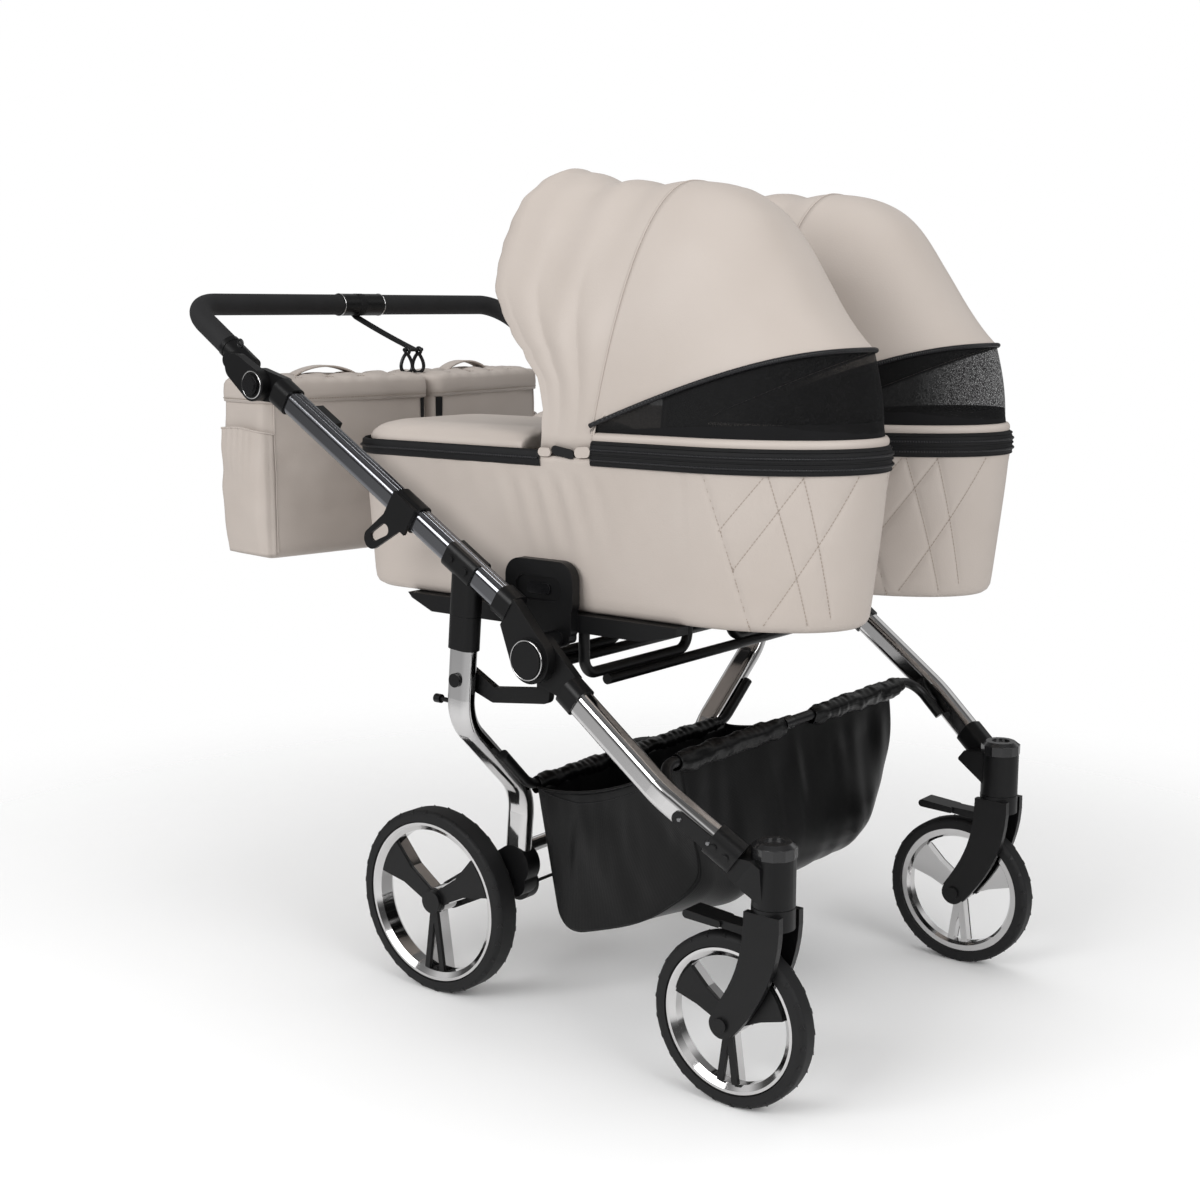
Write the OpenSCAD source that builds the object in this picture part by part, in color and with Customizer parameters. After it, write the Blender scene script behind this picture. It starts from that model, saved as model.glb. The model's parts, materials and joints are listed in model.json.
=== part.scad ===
// Side-by-side twin pram: folding chassis, two carrycots with hoods, basket and two nappy bags.
// Millimetres, +X forward, +Y to the left, +Z up, floor at z = 0.
// In the modules x is counted from the rear axle; the last lines centre the pram on its own length.

/* [Wheels] */
// Distance between the rear and the front axles
wheelbase = 586; // [576:1:600]
// Front wheel diameter over the tyre
front_wheel_d = 240; // [230:1:244]
// Front tyre width
front_tyre_w = 32; // [28:1:34]
// Rear wheel diameter over the tyre
rear_wheel_d = 290; // [276:1:296]
// Rear tyre width
rear_tyre_w = 42; // [36:1:44]
// Distance of the rear wheel's middle plane from the pram's middle
rear_wheel_y = 281; // [278:1:284]
// Height of the tyre between the rim and the tread
tyre_h = 17.5; // [14:0.5:22]
// Radius of the wheel axles
axle_r = 6; // [5:0.5:7]
// Distance of the caster's swivel axis ahead of its axle
caster_trail = 60; // [54:1:64]

/* [Side frames] */
// Distance of the side tubes from the pram's middle
rail_y = 388; // [384:1:392]
// Depth of a side tube in the plane of the side frame
tube_h = 37; // [34:1:40]
// Width of a side tube across the pram
tube_w = 30; // [26:1:30]
// Wall of the plastic sleeves round the side tubes
sleeve_wall = 3; // [2.5:0.1:3]
// Distance of the fold joint ahead of the rear axle
fold_x = 292; // [289:1:295]
// Height of the fold joint
fold_z = 582; // [579:1:585]
// Distance from the fold joint to the handle's angle hub
upper_len = 656; // [640:1:670]
// Slope of the upper side tubes
upper_slope = 33; // [32.4:0.1:33.6]
// Slope of the lower side tubes
lower_slope = 37.2; // [36.6:0.1:37.8]
// Angle by which the lower tubes bend in towards the casters
toe_in = 13; // [12:0.1:14]
// Where along a lower tube its bend lies, from the fold
bend_at = 262; // [256:1:268]
// Distance of the casters from the pram's middle
caster_y = 334; // [330:1:336]
// Radius of the fold joint's discs
knuckle_r = 34; // [31:1:36]
// Radius of the handle hub's discs
hub_r = 25; // [22:1:27]

/* [Handle] */
// Distance from the angle hub to the handle bar
arm_len = 219; // [210:1:226]
// Slope of the handle arms
arm_slope = 33.5; // [31:0.1:36]
// Diameter of the padded handle bar
grip_d = 35; // [32:1:36]
// Diameter of the tube inside the padding
handle_tube_d = 26; // [22:1:27]
// Radius of the bar's corners
handle_bend = 54; // [50:1:58]
// Width of the plain band at the bar's middle
band_w = 62; // [50:1:70]

/* [Rear legs] */
// Height of the leg's hinge pin
leg_pin_z = 535; // [532:1:538]
// Distance of the leg's hinge pin ahead of the rear axle
leg_pin_x = 154; // [151:1:157]
// Width of the leg tube across the pram
leg_w = 26; // [24:1:27]
// Depth of the leg tube along the pram
leg_d = 42; // [38:1:43]
// Distance of the leg's foot from the pram's middle
foot_y = 240; // [238:1:241]
// Lean of the legs, forward at the top
leg_lean = 4.8; // [4.4:0.1:5.2]
// Radius of the chromed cross tube between the feet
cross_r = 11; // [9:0.5:12]

/* [Carrycots] */
// Distance of a carrycot's middle from the pram's middle
cot_y = 183; // [180:1:186]
// Width of a carrycot at its rim
cot_w = 294; // [288:1:296]
// Width of a carrycot at its floor
cot_floor_w = 252; // [240:1:256]
// Height of the rim
rim_z = 854; // [848:1:860]
// Height of the carrycot's underside
floor_z = 635; // [630:1:640]
// Foot end of the carrycot behind the rear axle
cot_rear = 140; // [132:1:146]
// Tip of the carrycot's nose ahead of the rear axle
cot_nose = 702; // [694:1:708]
// Length of the round nose
nose_len = 207; // [195:1:215]
// Wall of the padded tub
cot_wall = 8; // [6:0.5:10]
// Height of the top of the hood's rear bow
hood_top = 1252; // [1235:1:1265]
// Thickness of the hood cloth with its lining
hood_wall = 4; // [3:0.5:5]
// Thickness of the mattress
mattress_h = 30; // [20:1:40]

/* [Basket and bags] */
// Half width of the basket
basket_half = 250; // [240:1:254]
// Thickness of the basket's cloth and stiffener
basket_wall = 3; // [2.5:0.5:4]
// Radius of the basket's rails
basket_rail_r = 8; // [7:0.5:9]
// Width of one nappy bag
bag_w = 334; // [320:1:338]
// Depth of a nappy bag along the pram
bag_d = 130; // [118:1:134]
// Height of a nappy bag
bag_h = 286; // [270:1:290]

/* [Hidden] */
$fn = 48;

// Clearances
run = 0.05;     // a shaft in its bore, on the radius
fit = 0.2;      // a tube in its sleeve
air = 0.4;      // moving faces, and cloth beside its neighbour
seam = 0.05;    // a bend's section inside that of its straight runs
run_lap = 1.5;  // length that a straight run reaches into its bend

// Colours
chrome = "silver";
black = "#1c1c1e";
cloth = "#cdc1b7";
grey = "#3a3a3c";

// Side frame: the fold joint, the handle hub and the handle bar as [x, z]
fold = [fold_x, fold_z];
hub = fold + upper_len * [-cos(upper_slope), sin(upper_slope)];
bar = hub + arm_len * [-cos(arm_slope), sin(arm_slope)];
// The upper tube runs above the line through the two joints, the lower tube just above its joint
fold_rise = 34;
hub_rise = 18;
lower_rise = 6;
rise = [sin(upper_slope), cos(upper_slope)];
tube_low = fold + fold_rise * rise;
tube_high = hub + hub_rise * rise;
tube_slope = atan2(tube_high[1] - tube_low[1], tube_low[0] - tube_high[0]);
tube_dir = [-cos(tube_slope), sin(tube_slope)];
tube_len = norm(tube_high - tube_low);
lower_dir = [cos(lower_slope), -sin(lower_slope)];
lower_from = fold + lower_rise * [sin(lower_slope), cos(lower_slope)];
grip_r = grip_d / 2;
sleeve_h = tube_h + 2 * sleeve_wall;
sleeve_w = tube_w + 2 * sleeve_wall;
sleeve_in = rail_y - sleeve_w / 2;
// Faces of the two halves of a disc joint, counted across the pram
half_gap = 0.4;
disc_in = rail_y - 13.4;
disc_mid = rail_y - 0.8;
disc_out = rail_y + 16;
pin_r = 8;
neck_r = 20;
// Sleeves of the fold joint start here, clear of each other over the whole fold
sleeve_start = 66;
sleeve_len = 28;
hub_sleeve_start = 44;
hub_sleeve_len = 32;

// Casters
caster_x = wheelbase + caster_trail;
caster_axle_z = front_wheel_d / 2;
housing_r = 29;
housing_bottom = front_wheel_d + 51;
housing_top = housing_bottom + 66;
cap_h = 20;
stem_r = 8;
fork_gap = 3.5;
fork_leg = 10.5;
fork_in = front_tyre_w / 2 + fork_gap;
fork_out = fork_in + fork_leg;
bolt_head = 4;
lever_pin_r = 3;
lever_z = front_wheel_d + 10;
lever_back = 16;
lever_reach = 132;
lower_len = bend_at + ((caster_x - 42 - lower_from[0]) / cos(lower_slope) - bend_at) / cos(toe_in);
bend_x = lower_from[0] + bend_at * cos(lower_slope);
lower_bend_r = 120;

// Rear end
rear_axle_z = rear_wheel_d / 2;
leg_pin = [leg_pin_x, leg_pin_z];
leg_pin_r = 6;
leg_top = 84;
cap_low = 44;
cap_top = 93;
leg_drop = leg_pin_z - 215;
leg_bend_high = -62;
leg_bend_low = -200;
leg_bend_r = 80;
cap_wall = 3;
brace_t = 11.2;
arm_w = 28;
arm_in = foot_y - arm_w / 2;
foot = [leg_pin_x - leg_drop * tan(leg_lean), leg_pin_z - leg_drop];
cross = [leg_pin_x - (leg_pin_z - 240) * tan(leg_lean), 240];
rear_rail_z = 352;
rear_rail_x = leg_pin_x - (leg_pin_z - rear_rail_z) * tan(leg_lean) + leg_d / 2 / cos(leg_lean) + basket_rail_r + fit;

// Carrycot frame
hoop_r = 8;
hoop_z = floor_z - 87;
hoop_bend = 24;
hoop_xs = [fold_x - 110, fold_x + 20];
rail_h = 25;
rail_top = floor_z - 0.3;
rail_wide = 28;
outer_rail_y = cot_y + cot_floor_w / 2 - 1;
inner_rail_y = cot_y - cot_floor_w / 2 + 1;
ear_in = outer_rail_y + rail_wide / 2;
ear_out = ear_in + 16;
ear_c = [fold_x - 38, floor_z + 20];
button_h = 16;
button_len = 42;
button_travel = 3.5;

// Hood bows as [base x, base z, angle, length]
hood_pivot = [339, rim_z + 26];
zip_bow = [hood_pivot[0], hood_pivot[1], 18.9, 352];
mid_bow = [hood_pivot[0], hood_pivot[1], 77.7, 353];
rear_base = [229, rim_z + 11];
rear_lean = 101.5;
rear_bow = [rear_base[0], rear_base[1], rear_lean, (hood_top - rear_base[1]) / sin(rear_lean)];
hem_bow = [rear_base[0] - 6, rear_base[1], rear_lean + 4.5, rear_bow[3] * 0.93];
mesh_bow = [hood_pivot[0], rim_z + 0.3, 0, cot_nose - hood_pivot[0] - 6];
hood_half = cot_w / 2 - 3;
arch_power = 0.8;
bow_r = 4;

// Front basket rail
front_rail = [474, 450];
front_rail_tilt = 45;
front_rail_leg = 75;
front_rail_end = front_rail[0] + front_rail_leg * cos(front_rail_tilt);
front_rail_y = rail_y - max(0, front_rail_end + basket_rail_r * sin(front_rail_tilt) - bend_x) * tan(toe_in) / cos(lower_slope) - tube_w / 2 / cos(toe_in)
  - basket_rail_r - air;

// Everything is centred along its length between the front tyre and the handle bar
front_end = wheelbase + front_wheel_d / 2;
rear_end = bar[0] - grip_r;
centre_x = (front_end + rear_end) / 2;

// Basic shapes

module both() {
  children();
  mirror([0, 1, 0]) children();
}

// A left-hand piece, mirrored when it belongs on the right
module side(s) {
  if (s > 0) children();
  else mirror([0, 1, 0]) children();
}

// Rectangle with round corners
module rounded(w, h, r) {
  square([w - 2 * r, h], center = true);
  square([w, h - 2 * r], center = true);
  for (x = [-1, 1], y = [-1, 1]) translate([x * (w / 2 - r), y * (h / 2 - r)]) circle(r);
}

// Flat bar with round ends from a to b
module capsule(a, b, ra, rb) {
  d = b - a;
  len = norm(d);
  ang = atan2(d[1], d[0]);
  lean = asin((ra - rb) / len);
  n1 = [cos(ang + 90 - lean), sin(ang + 90 - lean)];
  n2 = [cos(ang - 90 + lean), sin(ang - 90 + lean)];
  polygon([a + ra * n1, a + ra * n2, b + rb * n2, b + rb * n1]);
  translate(a) circle(ra);
  translate(b) circle(rb);
}

// Points of a cubic curve
function curve(a, b, c, d, n) = [for (i = [0:n]) let (t = i / n, s = 1 - t)
  s * s * s * a + 3 * s * s * t * b + 3 * s * t * t * c + t * t * t * d];

// Sweep of a section along a flat line of points with round bends; the section's x lies in the plane.
// A second section, a hair smaller, may be given for the bends: the straight runs then reach into it.
module swept(pts, r) {
  n = len(pts);
  lap = $children > 1 ? run_lap : 0;
  head = [for (i = [0:n - 2]) atan2(pts[i + 1][1] - pts[i][1], pts[i + 1][0] - pts[i][0])];
  turn = [for (i = [0:n - 1]) i == 0 || i == n - 1 ? 0 :
    let (d = head[i] - head[i - 1]) d > 180 ? d - 360 : d < -180 ? d + 360 : d];
  cut = [for (t = turn) r * tan(abs(t) / 2)];
  for (i = [0:n - 2]) {
    u = [cos(head[i]), sin(head[i])];
    before = i == 0 ? 0 : cut[i] - lap;
    after = i == n - 2 ? 0 : cut[i + 1] - lap;
    translate(pts[i] + before * u) rotate([0, 0, head[i]]) rotate([90, 0, 90])
      linear_extrude(norm(pts[i + 1] - pts[i]) - before - after) children(0);
  }
  for (i = [1:1:n - 2]) if (turn[i] != 0) {
    left = turn[i] > 0 ? 1 : -1;
    p = pts[i] - cut[i] * [cos(head[i - 1]), sin(head[i - 1])];
    c = p + left * r * [-sin(head[i - 1]), cos(head[i - 1])];
    start = left > 0 ? head[i - 1] - 90 : head[i - 1] + 90 + turn[i];
    translate(c) rotate([0, 0, start]) rotate_extrude(angle = abs(turn[i])) translate([r, 0])
      children($children > 1 ? 1 : 0);
  }
}

// Flat outline in the plane of the side frame, from y0 to y1 across the pram
module plate(y0, y1) translate([0, y1, 0]) rotate([90, 0, 0]) linear_extrude(y1 - y0) children();

// Cylinder across the pram
module across(p, r, y0, y1) translate([p[0], y1, p[1]]) rotate([90, 0, 0]) cylinder(r = r, h = y1 - y0);

// Straight stretch of a section along a slope in the side frame, from d0 to d1 past p
module along(p, slope, d0, d1) translate([p[0], rail_y, p[1]]) rotate([0, 90 - slope, 0])
  translate([0, 0, d0]) linear_extrude(d1 - d0) children();

// Plane across the pram: x of the drawing runs along +Y, y of the drawing up the given slope
module cross_plane(p, slope) translate([p[0], 0, p[1]]) rotate([0, 90 - slope, 0]) rotate([90, 0, 90]) children();

// Side tubes

module tube_section(extra = 0) rounded(tube_h + 2 * extra, tube_w + 2 * extra, 11 + extra);

module flutes() for (y = [-8, 0, 8]) translate([-tube_h / 2, y]) circle(1.6, $fn = 24);

module sleeve_section() difference() {
  rounded(sleeve_h, sleeve_w, 13);
  tube_section(fit);
}

// Along a lower tube: straight from the fold joint, and the same past its bend
module lower_frame() translate([lower_from[0], rail_y, lower_from[1]]) rotate([0, 90 + lower_slope, 0]) children();

module toed() lower_frame() translate([0, 0, bend_at]) rotate([toe_in, 0, 0]) translate([0, 0, -bend_at]) children();

module upper_stretch(d0, d1) along(tube_low, 180 - tube_slope, d0, d1) children();

module lower_tubes() color(chrome) both() cross_plane(lower_from, -lower_slope)
  swept([[rail_y, sleeve_start + sleeve_wall + fit], [rail_y, bend_at],
    [rail_y - (lower_len - bend_at) * sin(toe_in), bend_at + (lower_len - bend_at) * cos(toe_in)]], lower_bend_r) {
    rotate(90) tube_section();
    rotate(90) tube_section(-seam);
  }

module upper_tubes() color(chrome) both() upper_stretch(sleeve_start + sleeve_wall + fit,
  tube_len - hub_sleeve_start - sleeve_wall - fit) difference() {
    tube_section();
    rotate(180) flutes();
  }

// Half of a joint with two discs side by side: the disc at p and its neck to the tube's sleeve at q
module neck(p, q, r, y0, y1) plate(y0, y1) capsule(p, q, r, neck_r);

// Socket at the end of a tube, closed towards the joint
module socket(len) {
  linear_extrude(sleeve_wall) rounded(sleeve_h, sleeve_w, 13);
  translate([0, 0, sleeve_wall]) linear_extrude(len - sleeve_wall) sleeve_section();
}

module fold_knuckles_lower() color(black) both() {
  difference() {
    neck(fold, lower_from + sleeve_start * lower_dir, knuckle_r, disc_in, disc_mid);
    lower_frame() translate([0, 0, sleeve_start + sleeve_wall / 2]) linear_extrude(60) square(100, center = true);
  }
  across(fold, pin_r, disc_mid, disc_out - 4);
  lower_frame() translate([0, 0, sleeve_start]) socket(sleeve_len);
}

module fold_knuckles_upper() color(black) both() {
  difference() {
    neck(fold, tube_low + sleeve_start * tube_dir, knuckle_r, disc_mid + half_gap, disc_out);
    across(fold, pin_r + run, disc_mid, disc_out - 3);
    upper_stretch(sleeve_start + sleeve_wall / 2, sleeve_start + 60) square(100, center = true);
  }
  across(fold, knuckle_r - 5, disc_out, disc_out + 6);
  across(fold, knuckle_r - 9, disc_out + 6, disc_out + 8);
  along(tube_low, 180 - tube_slope, sleeve_start, sleeve_start + sleeve_wall) rounded(sleeve_h, sleeve_w, 13);
  upper_stretch(sleeve_start + sleeve_wall, sleeve_start + sleeve_len) sleeve_section();
}

// Clamps on the upper tubes, which rest on the caps of the rear legs, and the rubber stops higher up
clamp_at = (tube_low[0] - leg_pin_x - 14) / cos(tube_slope);
stop_at = tube_len - 130;

// Frame of the upper tube: origin on its axis beside the fold joint, -x up the tube, z out of its top
module tube_frame() translate([tube_low[0], 0, tube_low[1]]) rotate([0, tube_slope, 0]) children();

module leg_clamps() color(black) both() {
  difference() {
    union() {
      upper_stretch(clamp_at - 24, clamp_at + 34) rounded(sleeve_h, sleeve_w, 13);
      leg_frame() translate([0, 0, cap_top + air]) linear_extrude(60) leg_section(cap_wall);
    }
    upper_stretch(clamp_at - 90, clamp_at + 90) tube_section(fit);
    upper_stretch(clamp_at - 90, clamp_at + 90) translate([tube_h / 2 + 30, 0]) square([60, sleeve_w + 10], center = true);
  }
  for (d = [-10, 20]) tube_frame() translate([-clamp_at - d, rail_y + sleeve_w / 2, 0]) rotate([-90, 0, 0])
    cylinder(r = 5.5, h = 2.5);
  tube_frame() translate([-stop_at - 24, rail_y - tube_w / 2 - 16, -13]) cube([48, 16 - fit, 26]);
}

// Finger loops that slide up the tube to release the fold
release_at = 300;
release_travel = 16;

module fold_release(s) color(black) side(s) {
  upper_stretch(release_at - 24, release_at + 24) sleeve_section();
  tube_frame() translate([-release_at, 0, 0]) plate(rail_y + tube_w / 2 + fit + 0.3, rail_y + sleeve_w / 2 + 3)
    difference() {
      union() {
        capsule([2, -6], [-26, -66], 19, 15);
        translate([-24, -24]) square([48, 44]);
      }
      capsule([-12, -40], [-24, -60], 9, 7);
    }
}

// Casters

module caster_housings() color(black) both() {
  difference() {
    union() {
      translate([caster_x, caster_y, housing_bottom]) cylinder(r = housing_r, h = housing_top - housing_bottom);
      toed() translate([0, 0, lower_len - 40]) linear_extrude(40 + sleeve_wall) rounded(sleeve_h, sleeve_w, 13);
      intersection() {
        toed() translate([0, -sleeve_w, lower_len]) linear_extrude(70) square([sleeve_h, 3 * sleeve_w], center = true);
        translate([caster_x - 62, caster_y - 22, housing_bottom]) cube([62, 60, housing_top - housing_bottom]);
      }
    }
    toed() translate([0, 0, lower_len - 80]) linear_extrude(80 + fit) tube_section(fit);
    translate([caster_x, caster_y, housing_bottom - 1]) cylinder(r = stem_r + run, h = 56);
    translate([caster_x, caster_y, housing_bottom - 50]) cylinder(r = housing_r + 40, h = 50);
  }
  for (d = [30, 10]) toed() translate([0, sleeve_w / 2, lower_len - d]) rotate([-90, 0, 0]) cylinder(r = 5, h = 2);
}

module caster_caps() color(grey) both() translate([caster_x, caster_y, housing_top]) difference() {
  union() {
    cylinder(r = housing_r + 1.5, h = cap_h - 5, $fn = 12);
    translate([0, 0, cap_h - 5]) cylinder(r1 = housing_r + 0.5, r2 = housing_r - 6, h = 5);
  }
  translate([0, 0, cap_h - 3]) cylinder(r = 14, h = 4);
}

module fork_outline() {
  polygon(concat(
    curve([27, housing_bottom - 6], [31, front_wheel_d - 25], [2, front_wheel_d - 80],
      [-caster_trail + 18, caster_axle_z - 12], 10),
    curve([-caster_trail - 17, caster_axle_z + 12], [-caster_trail + 20, front_wheel_d - 55],
      [-27, front_wheel_d - 20], [-27, housing_bottom - 6], 10)));
  translate([-caster_trail, caster_axle_z]) circle(19);
}

module caster_fork(s) color(black) side(s) translate([caster_x, caster_y, 0]) {
  for (y = [-fork_out, fork_in]) plate(y, y + fork_leg) fork_outline();
  translate([0, 0, housing_bottom - 29]) cylinder(r = 29.4, h = 29 - air);
  translate([0, 0, housing_bottom - air]) cylinder(r = stem_r, h = 54);
  across([-caster_trail, caster_axle_z], axle_r, -fork_in - 1, fork_in + 1);
  for (y = [-fork_out - bolt_head, fork_out])
    across([-caster_trail, caster_axle_z], 10, y, y + bolt_head);
  across([-lever_back, lever_z], lever_pin_r, -fork_in - 1, fork_in + 1);
}

// Foot lever behind the fork's crown
module kick_lever(s) color(black) side(s) translate([caster_x, caster_y, 0]) difference() {
  union() {
    plate(-14, 14) capsule([-lever_back, lever_z], [-lever_back - 60, lever_z + 3], 6.5, 5);
    plate(-18, 18) capsule([-lever_back - 60, lever_z + 3], [-lever_reach + 6, lever_z + 6], 5, 6);
  }
  across([-lever_back, lever_z], lever_pin_r + run, -20, 20);
}

// Wheels: drawn about the Z axis with the outer face towards +Z and the drawing's -Y upwards

module tyre(d, w) {
  r = d / 2;
  s = 8;
  rotate_extrude($fn = 96) {
    translate([r - tyre_h, -w / 2]) square([tyre_h - s, w]);
    translate([r - tyre_h, -w / 2 + s]) square([tyre_h, w - 2 * s]);
    for (y = [-1, 1]) translate([r - s, y * (w / 2 - s)]) circle(s);
  }
}

rim_band = 14;
hub_cap_r = 20;

// Three spokes: two broad ones and one split into two bars
module spoke_outline(rim_in, inset) {
  broad = 0.3 * rim_in - inset;
  narrow = 12 - inset;
  for (a = [-150, -30]) rotate(a) polygon([[0, -narrow], [rim_in * 0.55, -narrow - 5], [rim_in, -broad],
    [rim_in, broad], [rim_in * 0.55, narrow + 5], [0, narrow]]);
  for (a = [82, 98]) rotate(a) translate([0, inset / 2 - 5.5]) square([rim_in, 11 - inset]);
  circle(hub_cap_r - inset);
}

module rim(d, w) {
  ro = d / 2 - tyre_h - run;
  ri = ro - rim_band;
  hw = w / 2 - 4;
  difference() {
    union() {
      rotate_extrude($fn = 96) polygon([[ro, -hw], [ro, hw], [ro - 2, hw + 2], [ro - 6, hw + 2],
        [ri, hw - 4], [ri, -hw + 6], [ri + 4, -hw]]);
      translate([0, 0, -hw + 6]) linear_extrude(hw + 2) spoke_outline(ri + 2, 0);
      translate([0, 0, -w / 2 + 1]) cylinder(r = hub_cap_r, h = w / 2);
    }
    translate([0, 0, -w]) cylinder(r = axle_r + run, h = 2 * w);
  }
}

// Black face over the spokes; on a fork the axle passes right through it
module spoke_face(d, w, through = false) {
  ri = d / 2 - tyre_h - rim_band;
  difference() {
    union() {
      translate([0, 0, 8]) linear_extrude(5) intersection() {
        spoke_outline(ri + 2, 1.5);
        circle(ri - 0.6);
      }
      translate([0, 0, 8]) cylinder(r = hub_cap_r - 2, h = w / 2 - 9);
    }
    cylinder(r = axle_r + run, h = through ? w : w / 2 - 3);
  }
}

module at_front(s) side(s) translate([wheelbase, caster_y, caster_axle_z]) rotate([-90, 0, 0]) children();

module at_rear(s) side(s) translate([0, rear_wheel_y, rear_axle_z]) rotate([-90, 0, 0]) children();

// Rear legs, hinged on the braces

module leg_section(extra = 0) rotate(90) rounded(leg_w + 2 * extra, leg_d + 2 * extra, leg_w / 2 - 1 + extra);

// Frame of the left leg: origin at the hinge pin, z up the leg
module leg_frame() translate([leg_pin[0], rail_y, leg_pin[1]]) rotate([0, leg_lean, 0]) children();

module leg_path(top) cross_plane(leg_pin, 90 - leg_lean) swept([[rail_y, top], [rail_y, leg_bend_high],
  [foot_y, leg_bend_low], [foot_y, -leg_drop / cos(leg_lean)]], leg_bend_r) {
    rotate(-90) leg_section();
    rotate(-90) leg_section(-seam);
  }

module rear_legs() color(chrome) both() difference() {
  leg_path(leg_top);
  across(leg_pin, leg_pin_r + run, rail_y - leg_w, rail_y + leg_w);
}

module leg_caps() color(black) both() leg_frame() difference() {
  translate([0, 0, cap_low]) linear_extrude(cap_top - cap_low) leg_section(cap_wall);
  translate([0, 0, cap_low - 1]) linear_extrude(leg_top - cap_low + 1 + fit) leg_section(fit);
}

// Flat braces from the fold joints back to the leg pins
module leg_braces() color(black) both() {
  low = [leg_pin_x + 46, leg_pin_z - 20];
  front = fold + [0, -56];
  plate(disc_in - brace_t, disc_in) {
    capsule(leg_pin, low, 15, 11);
    capsule(low, front, 11, 11);
    capsule(front, fold + [2, -20], 11, 13);
  }
  across(leg_pin, leg_pin_r, disc_in - 1, rail_y + leg_w / 2 + air + 1);
  across(leg_pin, 10, rail_y + leg_w / 2 + air, rail_y + leg_w / 2 + 5);
}

// Trailing arms from the feet to the rear axle, with the stub axles
module axle_arms() color(black) both() {
  difference() {
    plate(arm_in, arm_in + arm_w) {
      capsule(foot + [2, 4], [0, rear_axle_z], 31, 22);
      translate(foot + [2, -22]) circle(24);
    }
    cross_plane(leg_pin, 90 - leg_lean) translate([foot_y, -leg_drop / cos(leg_lean) - fit]) rotate([-90, 0, 0])
      linear_extrude(120) rotate(-90) leg_section(fit);
    across(foot + [2, -22], 9, arm_in - 1, arm_in + 4);
  }
  across([0, rear_axle_z], axle_r, arm_in + arm_w - 1, rear_wheel_y + rear_tyre_w / 2 - 4);
  across([0, rear_axle_z], axle_r + 5, arm_in + arm_w - 1, rear_wheel_y - rear_tyre_w / 2 + 0.5);
}

module rear_cross_tube() color(chrome) across(cross, cross_r, -foot_y + leg_w / 2 + fit, foot_y - leg_w / 2 - fit);

// Rail behind the basket, with its ends turned up along the legs
module basket_rear_rail() color(black) cross_plane([rear_rail_x, rear_rail_z], 90 - leg_lean)
  swept([[basket_half + 74, 62], [basket_half + 8, 0], [-basket_half - 8, 0], [-basket_half - 74, 62]], 50) {
    circle(basket_rail_r);
    circle(basket_rail_r - seam);
  }

brake_c = [foot[0] - 14, foot[1] - 36];

module brake_housings() color(black) {
  both() {
    across(brake_c, 26, arm_in - 22, arm_in);
    across(brake_c, 18, arm_in - 26, arm_in - 22);
  }
  across(brake_c + [0, -8], 2.5, -arm_in + 26, arm_in - 26);
}

// Foot pedal turning on the cross tube
module brake_pedal() color(black) difference() {
  union() {
    across(cross, cross_r + 6, -32, 32);
    plate(-26, 26) capsule(cross, cross + [-84, -22], 9, 6);
    plate(-44, 44) capsule(cross + [-84, -22], cross + [-106, -20], 6, 7);
  }
  across(cross, cross_r + run, -50, 50);
}

// Carrycot frame under the carrycots

module dock_frame() color(black) {
  both() for (x = hoop_xs) cross_plane([x, hoop_z], 90)
    swept([[outer_rail_y, rail_top - rail_h - hoop_z], [outer_rail_y, 0], [inner_rail_y, 0],
      [inner_rail_y, rail_top - rail_h - hoop_z]], hoop_bend) circle(hoop_r);
  for (x = hoop_xs) across([x, hoop_z - 2 * hoop_r + 1], hoop_r, -outer_rail_y + 52, outer_rail_y - 52);
}

module rail_outline(back, front) polygon([[-back, rail_top], [-back + 8, rail_top - 8], [-back + 48, rail_top - rail_h],
  [front - 60, rail_top - rail_h], [front, rail_top - 12], [front, rail_top]]);

// Plastic rails with the side adapters that hold the carrycots
module cot_adapters() color(black) both() {
  plate(outer_rail_y - rail_wide / 2, outer_rail_y + rail_wide / 2) rail_outline(15, 479);
  plate(inner_rail_y - rail_wide / 2, inner_rail_y + rail_wide / 2) rail_outline(-30, 440);
  difference() {
    union() {
      plate(ear_in, ear_out) {
        translate(ear_c + [0, 12]) rounded(122, 84, 26);
        translate(ear_c + [0, -22]) rounded(116, 60, 10);
      }
      plate(outer_rail_y + rail_wide / 2 - 1, ear_out) translate(ear_c + [0, -38]) rounded(110, 46, 8);
      plate(ear_in, ear_out) capsule(ear_c + [20, -44], fold + [-6, 19], 26, 14);
      plate(ear_in + 4, disc_in) translate(fold + [-6, 19]) circle(12);
    }
    plate(ear_in + 3.5, ear_out + 1) capsule(ear_c + [-button_len / 2 + 8, 14], ear_c + [button_len / 2 - 8, 14],
      button_h / 2 + run, button_h / 2 + run);
    plate(ear_out - 3, ear_out + 1) translate(ear_c + [0, 14]) rounded(84, 34, 16);
  }
}

module adapter_button(s) color(grey) side(s) plate(ear_in + 3.5 + button_travel, ear_out - 0.2)
  capsule(ear_c + [-button_len / 2 + 8, 14], ear_c + [button_len / 2 - 8, 14], button_h / 2, button_h / 2);

// Handle

module handle_hubs() color(black) both() {
  difference() {
    neck(hub, tube_high - hub_sleeve_start * tube_dir, hub_r, disc_in, disc_mid);
    upper_stretch(tube_len - hub_sleeve_start - 60, tube_len - hub_sleeve_start - sleeve_wall / 2)
      square(100, center = true);
  }
  across(hub, pin_r, disc_mid, disc_mid + 9);
  upper_stretch(tube_len - hub_sleeve_start - sleeve_wall, tube_len - hub_sleeve_start)
    rounded(sleeve_h, sleeve_w, 13);
  upper_stretch(tube_len - hub_sleeve_start - hub_sleeve_len, tube_len - hub_sleeve_start - sleeve_wall)
    sleeve_section();
}

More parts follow.
